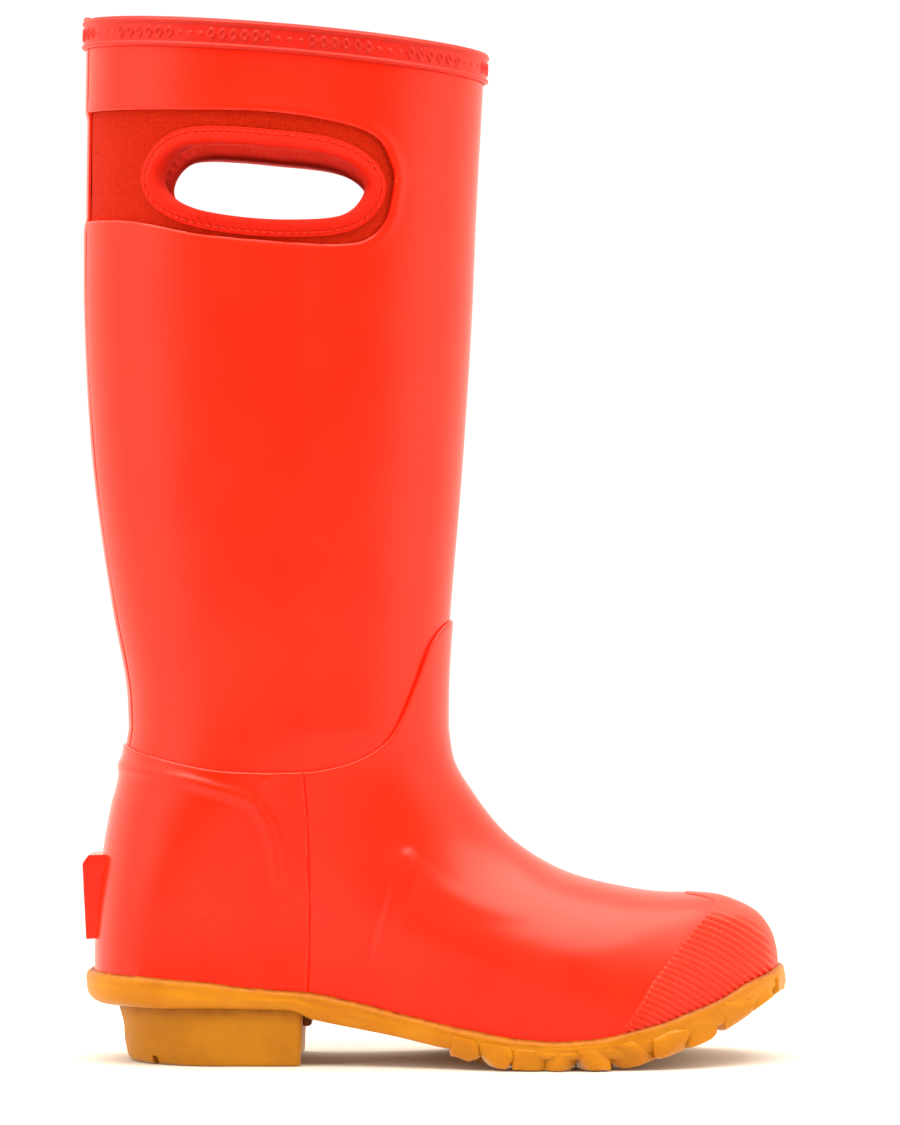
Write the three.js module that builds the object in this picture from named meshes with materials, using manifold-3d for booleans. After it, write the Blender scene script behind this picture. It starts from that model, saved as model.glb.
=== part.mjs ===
// Tall rubber rain boot for the right foot, as an assembly of its separate layers and panels.
// Millimetres. +X points to the toe, +Y to the inner side of the leg, +Z up; the floor is z = 0.
import * as THREE from "three";
import { mergeVertices } from "three/addons/utils/BufferGeometryUtils.js";
import Module from "manifold-3d";

const wasm = await Module();
wasm.setup();

// ---- Driving dimensions ----
const LENGTH = 282.4; // heel to toe
const HEIGHT = 417; // back of the rim above the floor
const RIM_FALL = 13.5; // how much lower the rim is at the front
const BALL_HALF = 45; // half widths of the rubber upper
const WAIST_HALF = 28;
const HEEL_HALF = 30;
const ANKLE_HALF = 38.5;
const CALF_HALF = 47;
const SHAFT_FRONT = 20.4; // front and back of the shaft at the rim
const SHAFT_BACK = -139.4;
const ANKLE_HEIGHT = 133; // narrowest place of the shaft

const CLEARANCE = 0.3; // between touching pieces
const RUBBER = 1.7; // shaft panel
const OVERLAY = 1.5; // how far vamp and quarter stand proud of it
const CAP_RISE = 1.2; // how far the toe cap stands proud of the vamp
const NEOPRENE = 4.2;
const LINING = 0.8;
const STIFFENER = 1.2; // heel counter and toe puff
const LAP = 10; // overlap of the panels
const BAND_HEIGHT = 12;
const BAND_RISE = 1.8;
const RIM_CAP = 1.5; // rubber that the band folds over the rim
const BACKSTAY_HALF = 9;

const HOLE_LENGTH = 84; // hand hole
const HOLE_HEIGHT = 28;
const HOLE_DROP = 62; // rim line down to the middle of the hole
const HOLE_X = -67;
const HOLE_TILT = -4.5; // degrees
const BINDING_FLANGE = 5.4;
const BINDING_WALL = 1.8;
const BINDING_PROUD = 0.5; // beyond the overlay's face
const BINDING_LIP = 1.6; // over the lining, inside the shaft
const THREAD = 0.7;
const THREAD_INSET = 1.9; // from the binding's outer edge
const WINDOW_MARGIN = 3; // neoprene left bare around the binding
const WINDOW_LIFT = [14, 6]; // how much the window's lower and upper edges rise towards the back

const WELT = 5; // how far the sole rim stands out from the upper
const CUP = 3; // how high the rim climbs over the upper
const BOARD = 2.2;
const SHANK = 1.2;
const SHANK_HALF = 10;
const HEEL_BLOCK_INSET = 3.5; // from the rim, at the sides
const HEEL_RETREAT = 14.2; // rear of the heel block, ahead of the rearmost point
const HEEL_LENGTH = 75.3;
const HEEL_LEAN = 6; // how far the rear of the heel slopes forwards at the floor
const LUG_DEPTH = 4.5;
const GROOVE = 2.4; // across the bottom of the heel
const FOOTBED_FOAM = 4.5;
const FOOTBED_COVER = 0.8;
const FOOTBED_EASE = 1.3; // between the footbed's edge and the lining
const TAB_FOOT = 48.5; // kick tab: lower and upper face
const TAB_TOP = 82;
const TAB_HALF = 11; // half width at the top
const TAB_TAPER = 3; // narrower by this at the foot
const BREAST_STEP = [4, 8, 14]; // length, height and half width of the step ahead of the heel
const LUG_ROWS = 7;
const LUG_COLUMNS = 3;
const LUG_GAP = 3.2;

// ---- Layer faces, as distances from the outer face of the shaft panel ----
const NEOPRENE_OUT = -RUBBER - CLEARANCE;
const NEOPRENE_IN = NEOPRENE_OUT - NEOPRENE;
const LINING_OUT = NEOPRENE_IN - CLEARANCE;
const LINING_IN = LINING_OUT - LINING;
const CAP_OUT = OVERLAY + CAP_RISE;

// ---- Small helpers ----
const HALF_SPAN = 90; // beyond the widest place on each side
const mix = (a, b, t) => a + (b - a) * t;
const clamp = (t) => Math.min(Math.max(t, 0), 1);
const smooth = (t) => clamp(t) ** 2 * (3 - 2 * clamp(t));
const along = (share) => (share * LENGTH) / 2; // place between heel (-1) and toe (+1)
const TAB_BACK = along(-1) + 0.4; // rear face of the kick tab
const HEEL_BACK = along(-1) + HEEL_RETREAT;
const HEEL_BREAST = HEEL_BACK + HEEL_LENGTH;

// A smooth curve through [x, value] pairs, flat beyond both ends.
function curveThrough(knots) {
  const slope = knots.map((knot, i) => {
    const before = knots[Math.max(i - 1, 0)];
    const after = knots[Math.min(i + 1, knots.length - 1)];
    return (after[1] - before[1]) / (after[0] - before[0]);
  });
  return (x) => {
    if (x <= knots[0][0]) return knots[0][1];
    if (x >= knots.at(-1)[0]) return knots.at(-1)[1];
    const i = knots.findIndex((knot) => knot[0] > x) - 1;
    const span = knots[i + 1][0] - knots[i][0];
    const t = (x - knots[i][0]) / span;
    const start = (1 + 2 * t) * (1 - t) ** 2 * knots[i][1] + t * (1 - t) ** 2 * span * slope[i];
    const end = t * t * (3 - 2 * t) * knots[i + 1][1] + t * t * (t - 1) * span * slope[i + 1];
    return start + end;
  };
}

// ---- The boot's outer surface ----
// Lowest edge of the upper, along the foot.
const featherZ = curveThrough([
  [along(-1), 33.8], [along(-0.84), 32.8], [along(-0.7), 30.8], [along(-0.52), 28.2],
  [along(-0.35), 26.2], [along(-0.1), 18.7], [along(0.035), 14.3], [along(0.2), 10.2],
  [along(0.32), 8.8], [along(0.43), 9.2], [along(0.52), 11.2], [along(0.62), 14.8],
  [along(0.71), 19.3], [along(0.79), 23.8], [along(0.88), 30], [along(1), 37],
]);
const RIM_FRONT = HEIGHT - RIM_FALL;
const shaftZ = (share) => ANKLE_HEIGHT + share * (HEIGHT - ANKLE_HEIGHT);
const BEYOND = 12; // the surface runs on above the rim, for clean cuts
const BELOW = 40; // and this far below the feather edge

const upright = (points) =>
  new THREE.CatmullRomCurve3(points.map(([x, z]) => new THREE.Vector3(x, 0, z)), false, "centripetal");
const TOE_X = along(1) - WELT;
const HEEL_X = along(-1) + WELT + 1.6;
const frontFoot = upright([
  [TOE_X, featherZ(TOE_X)], [along(0.959), 44], [along(0.942), 51], [along(0.899), 58.2],
  [along(0.8215), 63.4], [along(0.7365), 64.9], [along(0.616), 65.8], [along(0.4816), 69.2],
  [along(0.354), 75], [along(0.255), 83], [along(0.18), 92.2], [along(0.099), 107],
  [along(0.0496), 119], [along(0.0326), ANKLE_HEIGHT],
]);
const frontShaft = upright([
  [along(0.0326), ANKLE_HEIGHT], [along(0.0355), shaftZ(0.08)], [along(0.0524), shaftZ(0.195)],
  [mix(along(0.0524), SHAFT_FRONT, 0.4), shaftZ(0.42)], [mix(along(0.0524), SHAFT_FRONT, 0.68), shaftZ(0.66)],
  [SHAFT_FRONT, RIM_FRONT], [SHAFT_FRONT + 0.6, RIM_FRONT + BEYOND],
]);
const backFoot = upright([
  [HEEL_X, featherZ(HEEL_X)], [along(-0.951), 48], [along(-0.928), 84], [along(-0.889), 114],
  [along(-0.867), ANKLE_HEIGHT],
]);
const backShaft = upright([
  [along(-0.867), ANKLE_HEIGHT], [along(-0.874), shaftZ(0.06)], [along(-0.914), shaftZ(0.17)],
  [along(-0.969), shaftZ(0.365)], [SHAFT_BACK - 0.9, shaftZ(0.57)], [SHAFT_BACK - 1.1, shaftZ(0.73)],
  [SHAFT_BACK, HEIGHT], [SHAFT_BACK, HEIGHT + BEYOND],
]);
for (const curve of [frontFoot, frontShaft, backFoot, backShaft]) curve.arcLengthDivisions = 400;

// ring runs from 0 at the feather edge to 1 at the ankle and 2 just above the rim.
const frontPoint = (ring) => (ring < 1 ? frontFoot.getPointAt(ring) : frontShaft.getPointAt(ring - 1));
const backPoint = (ring) => (ring < 1 ? backFoot.getPointAt(ring ** 1.6) : backShaft.getPointAt(ring - 1));

const soleHalf = curveThrough([
  [along(-1), HEEL_HALF], [along(-0.62), HEEL_HALF], [along(-0.2), WAIST_HALF],
  [along(0.28), BALL_HALF], [along(0.5), BALL_HALF], [along(0.9), BALL_HALF - 8],
]);
const soleSwing = curveThrough([
  [along(-0.6), 0], [along(-0.15), -3], [along(0.3), -1], [along(0.65), 2.2], [along(1), 7],
]);
const shaftHalf = curveThrough([
  [0, ANKLE_HALF], [1, ANKLE_HALF], [1.2, mix(ANKLE_HALF, CALF_HALF, 0.42)],
  [1.42, mix(ANKLE_HALF, CALF_HALF, 0.82)], [1.65, CALF_HALF], [2, CALF_HALF],
]);
const frontTaper = curveThrough([[0, 55], [0.28, 110], [0.5, 125], [0.75, 108], [1, 63]]);
const backTaper = curveThrough([[0, 34], [0.5, 38], [1, 63]]);
const roundEnd = (t, power) => (t >= 1 ? 1 : (1 - (1 - Math.max(t, 0)) ** power) ** (1 / power));

// A point of the outer face of the shaft panel, at a ring and an angle: 0 is the back, PI the front.
function skin(ring, angle) {
  const level = Math.max(ring, 0);
  const front = frontPoint(Math.min(level, 2));
  const back = backPoint(Math.min(level, 2));
  const depth = front.x - back.x;
  const share = (1 - Math.cos(angle)) / 2;
  const x = back.x + depth * share;
  const shaft = smooth((level - 0.15) / 0.9);
  const half = mix(soleHalf(x), shaftHalf(level), shaft);
  const frontReach = level < 1 ? frontTaper(level) : depth / 2;
  const backReach = level < 1 ? backTaper(level) : depth / 2;
  const power = mix(2.25, 2, smooth(level));
  const ends = roundEnd((front.x - x) / frontReach, power) * roundEnd((x - back.x) / backReach, power);
  const straight = mix(featherZ(back.x), featherZ(front.x), share);
  const dip = (featherZ(x) - straight) * (1 - smooth(level / 0.85));
  return new THREE.Vector3(
    x,
    Math.sign(Math.sin(angle)) * half * ends + soleSwing(x) * (1 - shaft),
    mix(back.z, front.z, share) + dip + Math.min(ring, 0) * BELOW,
  );
}

function skinNormal(ring, angle) {
  const step = 1e-3;
  const low = Math.min(ring, 2 - step);
  const around = skin(ring, angle + 0.02).sub(skin(ring, angle - 0.02));
  const up = skin(low + step, angle).sub(skin(low === 0 ? 0 : low - step, angle));
  return up.cross(around).normalize();
}

// ---- Solids ----
function solidOf(geometry) {
  const bare = geometry.index ? geometry.toNonIndexed() : geometry.clone();
  bare.deleteAttribute("normal");
  bare.deleteAttribute("uv");
  const merged = mergeVertices(bare, 1e-4);
  return new wasm.Manifold(
    new wasm.Mesh({
      numProp: 3,
      vertProperties: new Float32Array(merged.attributes.position.array),
      triVerts: new Uint32Array(merged.index.array),
    }),
  );
}

const AROUND = 24;
const RINGS = [-1, 0, 0.06, 0.14, 0.24, 0.36, 0.5, 0.66, 0.83, 1, 1.12, 1.3, 1.6, 2];

// Everything inside the boot's surface moved outwards by a distance.
const envelopes = new Map();
function envelope(offset) {
  if (envelopes.has(offset)) return envelopes.get(offset);
  const points = [];
  const index = [];
  for (const ring of RINGS) {
    for (let j = 0; j < AROUND; j++) {
      const angle = (2 * Math.PI * j) / AROUND;
      const normal = skinNormal(ring, angle);
      if (ring <= 0) normal.setZ(0).normalize();
      points.push(skin(ring, angle).addScaledVector(normal, offset));
    }
  }
  const at = (i, j) => i * AROUND + (j % AROUND);
  for (let i = 0; i < RINGS.length - 1; i++) {
    for (let j = 0; j < AROUND; j++) {
      index.push(at(i, j), at(i + 1, j), at(i + 1, j + 1));
      index.push(at(i, j), at(i + 1, j + 1), at(i, j + 1));
    }
  }
  for (const row of [0, RINGS.length - 1]) {
    const middle = new THREE.Vector3();
    for (let j = 0; j < AROUND; j++) middle.addScaledVector(points[at(row, j)], 1 / AROUND);
    points.push(middle);
    for (let j = 0; j < AROUND; j++) {
      const edge = row === 0 ? [at(row, j), at(row, j + 1)] : [at(row, j + 1), at(row, j)];
      index.push(points.length - 1, ...edge);
    }
  }
  const geometry = new THREE.BufferGeometry().setFromPoints(points).setIndex(index);
  envelopes.set(offset, solidOf(geometry));
  return envelopes.get(offset);
}
const layer = (outer, inner) => envelope(outer).subtract(envelope(inner));

// A side-view outline of [x, z] points, carried straight through the boot's width.
function sideCut(points, from = -HALF_SPAN, to = HALF_SPAN) {
  const shape = new THREE.Shape(points.map(([x, z]) => new THREE.Vector2(x, z)));
  const geometry = new THREE.ExtrudeGeometry(shape, { depth: to - from, bevelEnabled: false });
  geometry.rotateX(Math.PI / 2).translate(0, to, 0);
  return solidOf(geometry);
}

// A rear-view outline of [y, z] points, carried from one x to another.
function rearCut(points, from, to) {
  const shape = new THREE.Shape(points.map(([y, z]) => new THREE.Vector2(y, z)));
  const geometry = new THREE.ExtrudeGeometry(shape, { depth: to - from, bevelEnabled: false });
  geometry.rotateX(Math.PI / 2).rotateZ(Math.PI / 2).translate(from, 0, 0);
  return solidOf(geometry);
}

// A plan outline of [x, y] points, carried upwards.
function planCut(points, from, to) {
  const shape = new THREE.Shape(points.map(([x, y]) => new THREE.Vector2(x, y)));
  const geometry = new THREE.ExtrudeGeometry(shape, { depth: to - from, bevelEnabled: false });
  return solidOf(geometry.translate(0, 0, from));
}

const rectangle = (x0, x1, z0, z1) => [[x0, z0], [x1, z0], [x1, z1], [x0, z1]];
const sampled = (curve, from, to, count) =>
  Array.from({ length: count + 1 }, (_, i) => {
    const x = mix(from, to, i / count);
    return [x, curve(x)];
  });

const FAR = along(1) + 18.8; // past the boot's ends
const FOOT_STEPS = 14;
// The space above a line along the foot, or between two such lines.
const aboveFoot = (rise, top = HEIGHT + 2 * BEYOND) =>
  sideCut([...sampled((x) => featherZ(x) + rise, -FAR, FAR, FOOT_STEPS), [FAR, top], [-FAR, top]]);
const footSlab = (low, high, from = -FAR, to = FAR, halfWidth = HALF_SPAN) =>
  sideCut(
    [...sampled((x) => featherZ(x) + low, from, to, FOOT_STEPS),
      ...sampled((x) => featherZ(x) + high, from, to, FOOT_STEPS).reverse()],
    -halfWidth, halfWidth,
  );

// Height of the rim line, and the space under it.
const rimZ = (x) => mix(HEIGHT, RIM_FRONT, (x - SHAFT_BACK) / (SHAFT_FRONT - SHAFT_BACK));
const underRim = (drop) =>
  sideCut([[-FAR, -BEYOND], [FAR, -BEYOND], [FAR, rimZ(FAR) - drop], [-FAR, rimZ(-FAR) - drop]]);

// Top edge of the vamp and quarter, from the back to the tongue on the shin.
const SIDE_EDGE = 116; // height of that edge at the side seam
const TONGUE_TOP = 180;
const overlayEdge = curveThrough([
  [along(-0.9), SIDE_EDGE + 9], [along(-0.72), SIDE_EDGE + 3], [along(-0.5), SIDE_EDGE],
  [along(-0.34), SIDE_EDGE], [along(-0.22), SIDE_EDGE + 4], [along(-0.14), SIDE_EDGE + 11],
  [along(-0.04), SIDE_EDGE + 34], [along(0.01), SIDE_EDGE + 53], [along(0.05), TONGUE_TOP],
]);
const belowOverlay = (drop) =>
  sideCut([[FAR, -BEYOND], [FAR, TONGUE_TOP - drop],
    ...sampled((x) => overlayEdge(x) - drop, along(-1.05), along(0.1), 20).reverse(), [along(-1.05), -BEYOND]]);

const SIDE_SEAM = along(-0.37); // between the quarter and the vamp
// Rear edge of the toe cap, from the crest down to the sole.
const capEdge = (shift) => [
  [along(0.715) + shift, 90], [along(0.715) + shift, 66.5], [along(0.775) + shift, 62],
  [along(0.765) + shift, 57], [along(0.62) + shift, 33], [along(0.52) + shift, 12], [along(0.48) + shift, 0],
];
const aheadOfCapEdge = (shift) => sideCut([...capEdge(shift), [FAR, 0], [FAR, 90]]);

// ---- Hand hole ----
const HOLE_Z = rimZ(HOLE_X) - HOLE_DROP;
// A rounded slot around the hole's middle, grown on all sides.
function slotOutline(grow, steps = 6) {
  const radius = HOLE_HEIGHT / 2 + grow;
  const reach = (HOLE_LENGTH - HOLE_HEIGHT) / 2;
  const tilt = THREE.MathUtils.degToRad(HOLE_TILT);
  const middle = new THREE.Vector2(HOLE_X, HOLE_Z);
  const points = [];
  for (const side of [1, -1]) {
    for (let i = 0; i <= steps; i++) {
      const turn = (side > 0 ? -Math.PI / 2 : Math.PI / 2) + (Math.PI * i) / steps;
      const point = new THREE.Vector2(side * reach + radius * Math.cos(turn), radius * Math.sin(turn));
      point.rotateAround(new THREE.Vector2(), tilt).add(middle);
      points.push([point.x, point.y]);
    }
  }
  return points;
}
const slot = (grow, side = 0) =>
  sideCut(slotOutline(grow), side > 0 ? 0 : -HALF_SPAN, side < 0 ? 0 : HALF_SPAN);

// Bare neoprene around both holes, open towards the backstay.
function windowCut() {
  const grow = BINDING_WALL + BINDING_FLANGE + WINDOW_MARGIN;
  const reach = HOLE_HEIGHT / 2 + grow;
  const behind = sideCut([
    [-FAR, HOLE_Z - reach + WINDOW_LIFT[0]], [HOLE_X, HOLE_Z - reach],
    [HOLE_X, HOLE_Z + reach], [-FAR, HOLE_Z + reach + WINDOW_LIFT[1]],
  ]);
  return behind.add(slot(grow));
}

function bindingOf(side) {
  const face = OVERLAY + BINDING_PROUD;
  const inner = LINING_IN - CLEARANCE;
  const outer = NEOPRENE_OUT + CLEARANCE;
  const groove = layer(outer, inner).subtract(slot(BINDING_WALL));
  return layer(face, inner - BINDING_LIP)
    .intersect(slot(BINDING_FLANGE + BINDING_WALL, side))
    .subtract(slot(0))
    .subtract(groove);
}

function threadOf(side) {
  const seat = OVERLAY + 0.5 + CLEARANCE;
  const edge = BINDING_FLANGE + BINDING_WALL - THREAD_INSET;
  return layer(seat + THREAD, seat)
    .intersect(slot(edge, side))
    .subtract(slot(edge - THREAD));
}

// ---- Sole ----
const lugCurve = curveThrough([
  [along(0.06), 5], [along(0.14), 1.5], [along(0.25), 0], [along(0.52), 0], [along(0.61), 3],
  [along(0.69), 6.5], [along(0.77), 10.5], [along(0.84), 15.5], [along(0.91), 21.5], [along(0.98), 28],
]);
const lugLine = (x) => Math.max(lugCurve(x), 0); // bottoms of the lugs
const HEEL_TOP = 22;
const waistLine = curveThrough([
  [along(-1), HEEL_TOP + 1], [along(-0.4), HEEL_TOP], [along(-0.34), 18.6], [along(-0.1), 12.2],
  [along(0.02), 8.6], [along(0.1), 6.8],
]);
// Underside of the sole plate: the waist, then the plate above the lugs.
const soleUnder = (x) => (x < along(0.1) ? waistLine(x) : lugLine(x) + LUG_DEPTH);
const SHANK_FROM = along(-0.46);
const SHANK_TO = along(0.13);
const CUSHION_FROM = along(-0.8);
const CUSHION_TO = SHANK_FROM - 3;
const CUSHION_HALF = 16;
const CUSHION_BASE = 13;

function rimPlate() {
  const region = sideCut([
    ...sampled(soleUnder, -FAR, FAR, 2 * FOOT_STEPS),
    ...sampled((x) => featherZ(x) + CUP, -FAR, FAR, FOOT_STEPS).reverse(),
  ]);
  return envelope(WELT).intersect(region);
}

function heelBlock() {
  const radius = HEEL_HALF + WELT - HEEL_BLOCK_INSET;
  const steps = 12;
  const rounded = Array.from({ length: steps + 1 }, (_, i) => {
    const turn = Math.PI / 2 + (Math.PI * i) / steps;
    return [HEEL_BACK + radius + radius * Math.cos(turn), radius * Math.sin(turn)];
  });
  const plan = planCut([...rounded, [FAR, -radius], [FAR, radius]], -1, HEEL_TOP + 2);
  const outline = sideCut([
    [HEEL_BREAST, 0], [HEEL_BREAST + 1.5, HEEL_TOP + 1], [HEEL_BACK, HEEL_TOP + 1.5],
    [HEEL_BACK + HEEL_LEAN * 0.4, HEEL_TOP * 0.65], [HEEL_BACK + HEEL_LEAN / 2, HEEL_TOP * 0.35],
    [HEEL_BACK + HEEL_LEAN, 0],
  ]);
  const groove = sideCut(rectangle(along(-0.8), along(-0.8) + GROOVE, -1, GROOVE + 1));
  return plan.intersect(outline).subtract(groove);
}

// A small step where the heel's front face meets the waist.
function breastStep() {
  const [length, height, half] = BREAST_STEP;
  const top = soleUnder(HEEL_BREAST) + 2;
  return sideCut(rectangle(HEEL_BREAST - 1, HEEL_BREAST - 1 + length, top - height, top), -half, half);
}

// Rough blocks in rows across the forefoot, each with its own skewed corners.
function lugs() {
  const from = along(0.06);
  const pitch = (along(0.97) - from) / LUG_ROWS;
  const width = (2 * (BALL_HALF + WELT)) / LUG_COLUMNS;
  const region = sideCut([
    ...sampled(lugLine, from, FAR, FOOT_STEPS), ...sampled((x) => soleUnder(x) + 1, from, FAR, FOOT_STEPS).reverse(),
  ]);
  let blocks = null;
  for (let i = 0; i < LUG_ROWS; i++) {
    for (let j = 0; j < LUG_COLUMNS; j++) {
      const skew = 2.2 * Math.sin(5 * i + 3 * j);
      const x = from + pitch * (i + 0.5) + (j === 1 ? pitch * 0.3 : 0);
      const y = width * (j - (LUG_COLUMNS - 1) / 2);
      const reachX = (pitch - LUG_GAP) / 2;
      const reachY = (width - LUG_GAP) / 2 + (j === 1 ? 0 : LUG_GAP);
      const block = planCut([
        [x - reachX, y - reachY + skew], [x, y - reachY - 1], [x + reachX, y - reachY - skew],
        [x + reachX - skew / 2, y + reachY], [x, y + reachY + 1], [x - reachX + skew / 2, y + reachY],
      ], -1, HEEL_TOP + WELT * 3);
      blocks = blocks ? blocks.add(block) : block;
    }
  }
  return blocks.intersect(region).intersect(envelope(WELT - 0.4));
}

function outsole() {
  const upperSeat = envelope(OVERLAY + CLEARANCE).intersect(aboveFoot(-BOARD - 2 * CLEARANCE));
  const capSeat = envelope(CAP_OUT + CLEARANCE).intersect(aheadOfCapEdge(-CLEARANCE)).intersect(aboveFoot(-CLEARANCE));
  const shankPocket = footSlab(
    -BOARD - SHANK - 4 * CLEARANCE, 0, SHANK_FROM - CLEARANCE, SHANK_TO + CLEARANCE, SHANK_HALF + CLEARANCE,
  );
  const heelPocket = planCut(
    rectangle(CUSHION_FROM - CLEARANCE, CUSHION_TO + CLEARANCE, -CUSHION_HALF - CLEARANCE, CUSHION_HALF + CLEARANCE),
    CUSHION_BASE - CLEARANCE, HEEL_TOP + 10,
  );
  return rimPlate().add(heelBlock()).add(breastStep()).add(lugs())
    .subtract(upperSeat).subtract(capSeat).subtract(shankPocket).subtract(heelPocket);
}

const insoleBoard = () =>
  envelope(OVERLAY).intersect(footSlab(-BOARD - CLEARANCE, -CLEARANCE));
const shank = () =>
  footSlab(-BOARD - SHANK - 3 * CLEARANCE, -BOARD - 3 * CLEARANCE, SHANK_FROM, SHANK_TO, SHANK_HALF);
const heelCushion = () =>
  planCut(rectangle(CUSHION_FROM, CUSHION_TO, -CUSHION_HALF, CUSHION_HALF), CUSHION_BASE, HEEL_TOP + 10)
    .subtract(aboveFoot(-BOARD - 3 * CLEARANCE));

// ---- Upper ----
const lapped = () => envelope(CLEARANCE).subtract(belowOverlay(LAP + CLEARANCE));

const heelQuarter = () =>
  layer(OVERLAY, -RUBBER)
    .intersect(aboveFoot(0)).intersect(belowOverlay(0))
    .intersect(sideCut(rectangle(-FAR, SIDE_SEAM, -BEYOND, HEIGHT)))
    .subtract(lapped());

const vamp = () =>
  layer(OVERLAY, -RUBBER)
    .intersect(aboveFoot(0)).intersect(belowOverlay(0))
    .intersect(sideCut(rectangle(SIDE_SEAM + CLEARANCE, FAR, -BEYOND, HEIGHT)))
    .subtract(aheadOfCapEdge(LAP))
    .subtract(lapped());

const toeCap = () =>
  layer(CAP_OUT, -RUBBER).intersect(aboveFoot(0)).intersect(aheadOfCapEdge(0))
    .subtract(envelope(OVERLAY + CLEARANCE).subtract(aheadOfCapEdge(LAP + CLEARANCE)));

const backStrip = (grow) =>
  rearCut([[-BACKSTAY_HALF - grow, 0], [BACKSTAY_HALF + grow, 0],
    [BACKSTAY_HALF + grow, HEIGHT + BEYOND], [-BACKSTAY_HALF - grow, HEIGHT + BEYOND]], -FAR, along(-0.64));

const shaftSkin = () =>
  layer(0, -RUBBER).intersect(underRim(RIM_CAP + CLEARANCE)).subtract(belowOverlay(LAP));
const shaftPanel = () => shaftSkin().subtract(backStrip(CLEARANCE)).subtract(windowCut());
const backstay = () => shaftSkin().intersect(backStrip(0));

function topBand() {
  const strip = layer(BAND_RISE, CLEARANCE).subtract(underRim(BAND_HEIGHT));
  const fold = layer(BAND_RISE, LINING_IN).subtract(underRim(RIM_CAP));
  return strip.add(fold).intersect(underRim(0));
}

function kickTab() {
  const footHalf = TAB_HALF - TAB_TAPER;
  const profile = sideCut([
    [TAB_BACK, TAB_FOOT + 3], [TAB_BACK + 4, TAB_FOOT], [along(-0.9), TAB_FOOT], [along(-0.9), TAB_TOP - 3],
    [TAB_BACK + 3, TAB_TOP], [TAB_BACK, TAB_TOP - 2],
  ]);
  const outline = rearCut([
    [-footHalf, TAB_FOOT - 1], [footHalf, TAB_FOOT - 1], [TAB_HALF, TAB_TOP + 1], [-TAB_HALF, TAB_TOP + 1],
  ], -FAR, along(-0.64));
  return profile.intersect(outline).subtract(envelope(OVERLAY + CLEARANCE));
}

// ---- Inner layers ----
const ANKLE_SEAM = 118;
const aboveSeam = (rise) => sideCut(rectangle(-FAR, FAR, ANKLE_SEAM + rise, HEIGHT + 2 * BEYOND));
const counterArea = (grow) =>
  sideCut([[-FAR, 0], [along(-0.46) + grow, 0], [along(-0.46) + grow, 72], [along(-0.5) + grow, 98 + grow],
    [along(-0.62), 106 + grow], [-FAR, 112 + grow]]);
const puffArea = (grow) => sideCut([[along(0.6) - grow, 0], [FAR, 0], [FAR, 90], [along(0.74) - grow, 90]]);
const stiffener = (area) => layer(NEOPRENE_OUT, NEOPRENE_OUT - STIFFENER).intersect(area).intersect(aboveFoot(0));
const stiffenerSeat = (area) => layer(0, NEOPRENE_OUT - STIFFENER - CLEARANCE).intersect(area);

const neopreneShaft = () =>
  layer(NEOPRENE_OUT, NEOPRENE_IN).intersect(underRim(RIM_CAP + CLEARANCE))
    .intersect(aboveSeam(0)).subtract(slot(BINDING_WALL + CLEARANCE));
const neopreneFoot = () =>
  layer(NEOPRENE_OUT, NEOPRENE_IN).intersect(aboveFoot(0)).subtract(aboveSeam(-CLEARANCE))
    .subtract(stiffenerSeat(counterArea(CLEARANCE))).subtract(stiffenerSeat(puffArea(CLEARANCE)));
const liningShaft = () =>
  layer(LINING_OUT, LINING_IN).intersect(underRim(RIM_CAP + CLEARANCE))
    .intersect(aboveSeam(0)).subtract(slot(BINDING_WALL + CLEARANCE));
const liningFoot = () =>
  envelope(LINING_OUT).intersect(aboveFoot(0)).subtract(aboveSeam(-CLEARANCE))
    .subtract(envelope(LINING_IN).intersect(aboveFoot(LINING)));

const FOOTBED_BASE = LINING + CLEARANCE;
const footbedSlice = (low, high) => envelope(LINING_IN - FOOTBED_EASE).intersect(footSlab(low, high));
const footbed = () => footbedSlice(FOOTBED_BASE, FOOTBED_BASE + FOOTBED_FOAM);
const footbedCover = () =>
  footbedSlice(FOOTBED_BASE + FOOTBED_FOAM + CLEARANCE, FOOTBED_BASE + FOOTBED_FOAM + CLEARANCE + FOOTBED_COVER);

// ---- Materials and assembly ----
const surface = (color, roughness, metalness = 0) =>
  new THREE.MeshStandardMaterial({ color, roughness, metalness });
const glossRubber = () => surface(0xe8301c, 0.3);
const neoprene = () => surface(0xc02a18, 0.9);
const knit = () => surface(0xd02818, 0.7);
const gum = () => surface(0xd8922c, 0.5);
const textile = () => surface(0x3c3f43, 0.95);

const group = new THREE.Group();
function place(name, solid, material) {
  const mesh = solid.getMesh();
  const geometry = new THREE.BufferGeometry();
  geometry.setAttribute("position", new THREE.BufferAttribute(new Float32Array(mesh.vertProperties), 3));
  geometry.setIndex(new THREE.BufferAttribute(new Uint32Array(mesh.triVerts), 1));
  geometry.computeVertexNormals();
  const piece = new THREE.Mesh(geometry, material);
  piece.name = name;
  group.add(piece);
}

place("outsole", outsole(), gum());
place("insole_board", insoleBoard(), surface(0xb9a37e, 0.9));
place("shank", shank(), surface(0x8d9298, 0.4, 0.9));
place("heel_cushion", heelCushion(), surface(0xe6e0d0, 0.9));
place("heel_quarter", heelQuarter(), glossRubber());
place("vamp", vamp(), glossRubber());
place("toe_cap", toeCap(), glossRubber());
place("shaft_panel", shaftPanel(), glossRubber());
place("backstay", backstay(), glossRubber());
place("top_band", topBand(), glossRubber());
place("kick_tab", kickTab(), glossRubber());
place("heel_counter", stiffener(counterArea(0)), surface(0x2b2b2b, 0.8));
place("toe_puff", stiffener(puffArea(0)), surface(0x2b2b2b, 0.8));
place("neoprene_shaft", neopreneShaft(), neoprene());
place("neoprene_foot", neopreneFoot(), neoprene());
place("lining_shaft", liningShaft(), textile());
place("lining_foot", liningFoot(), textile());
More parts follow.
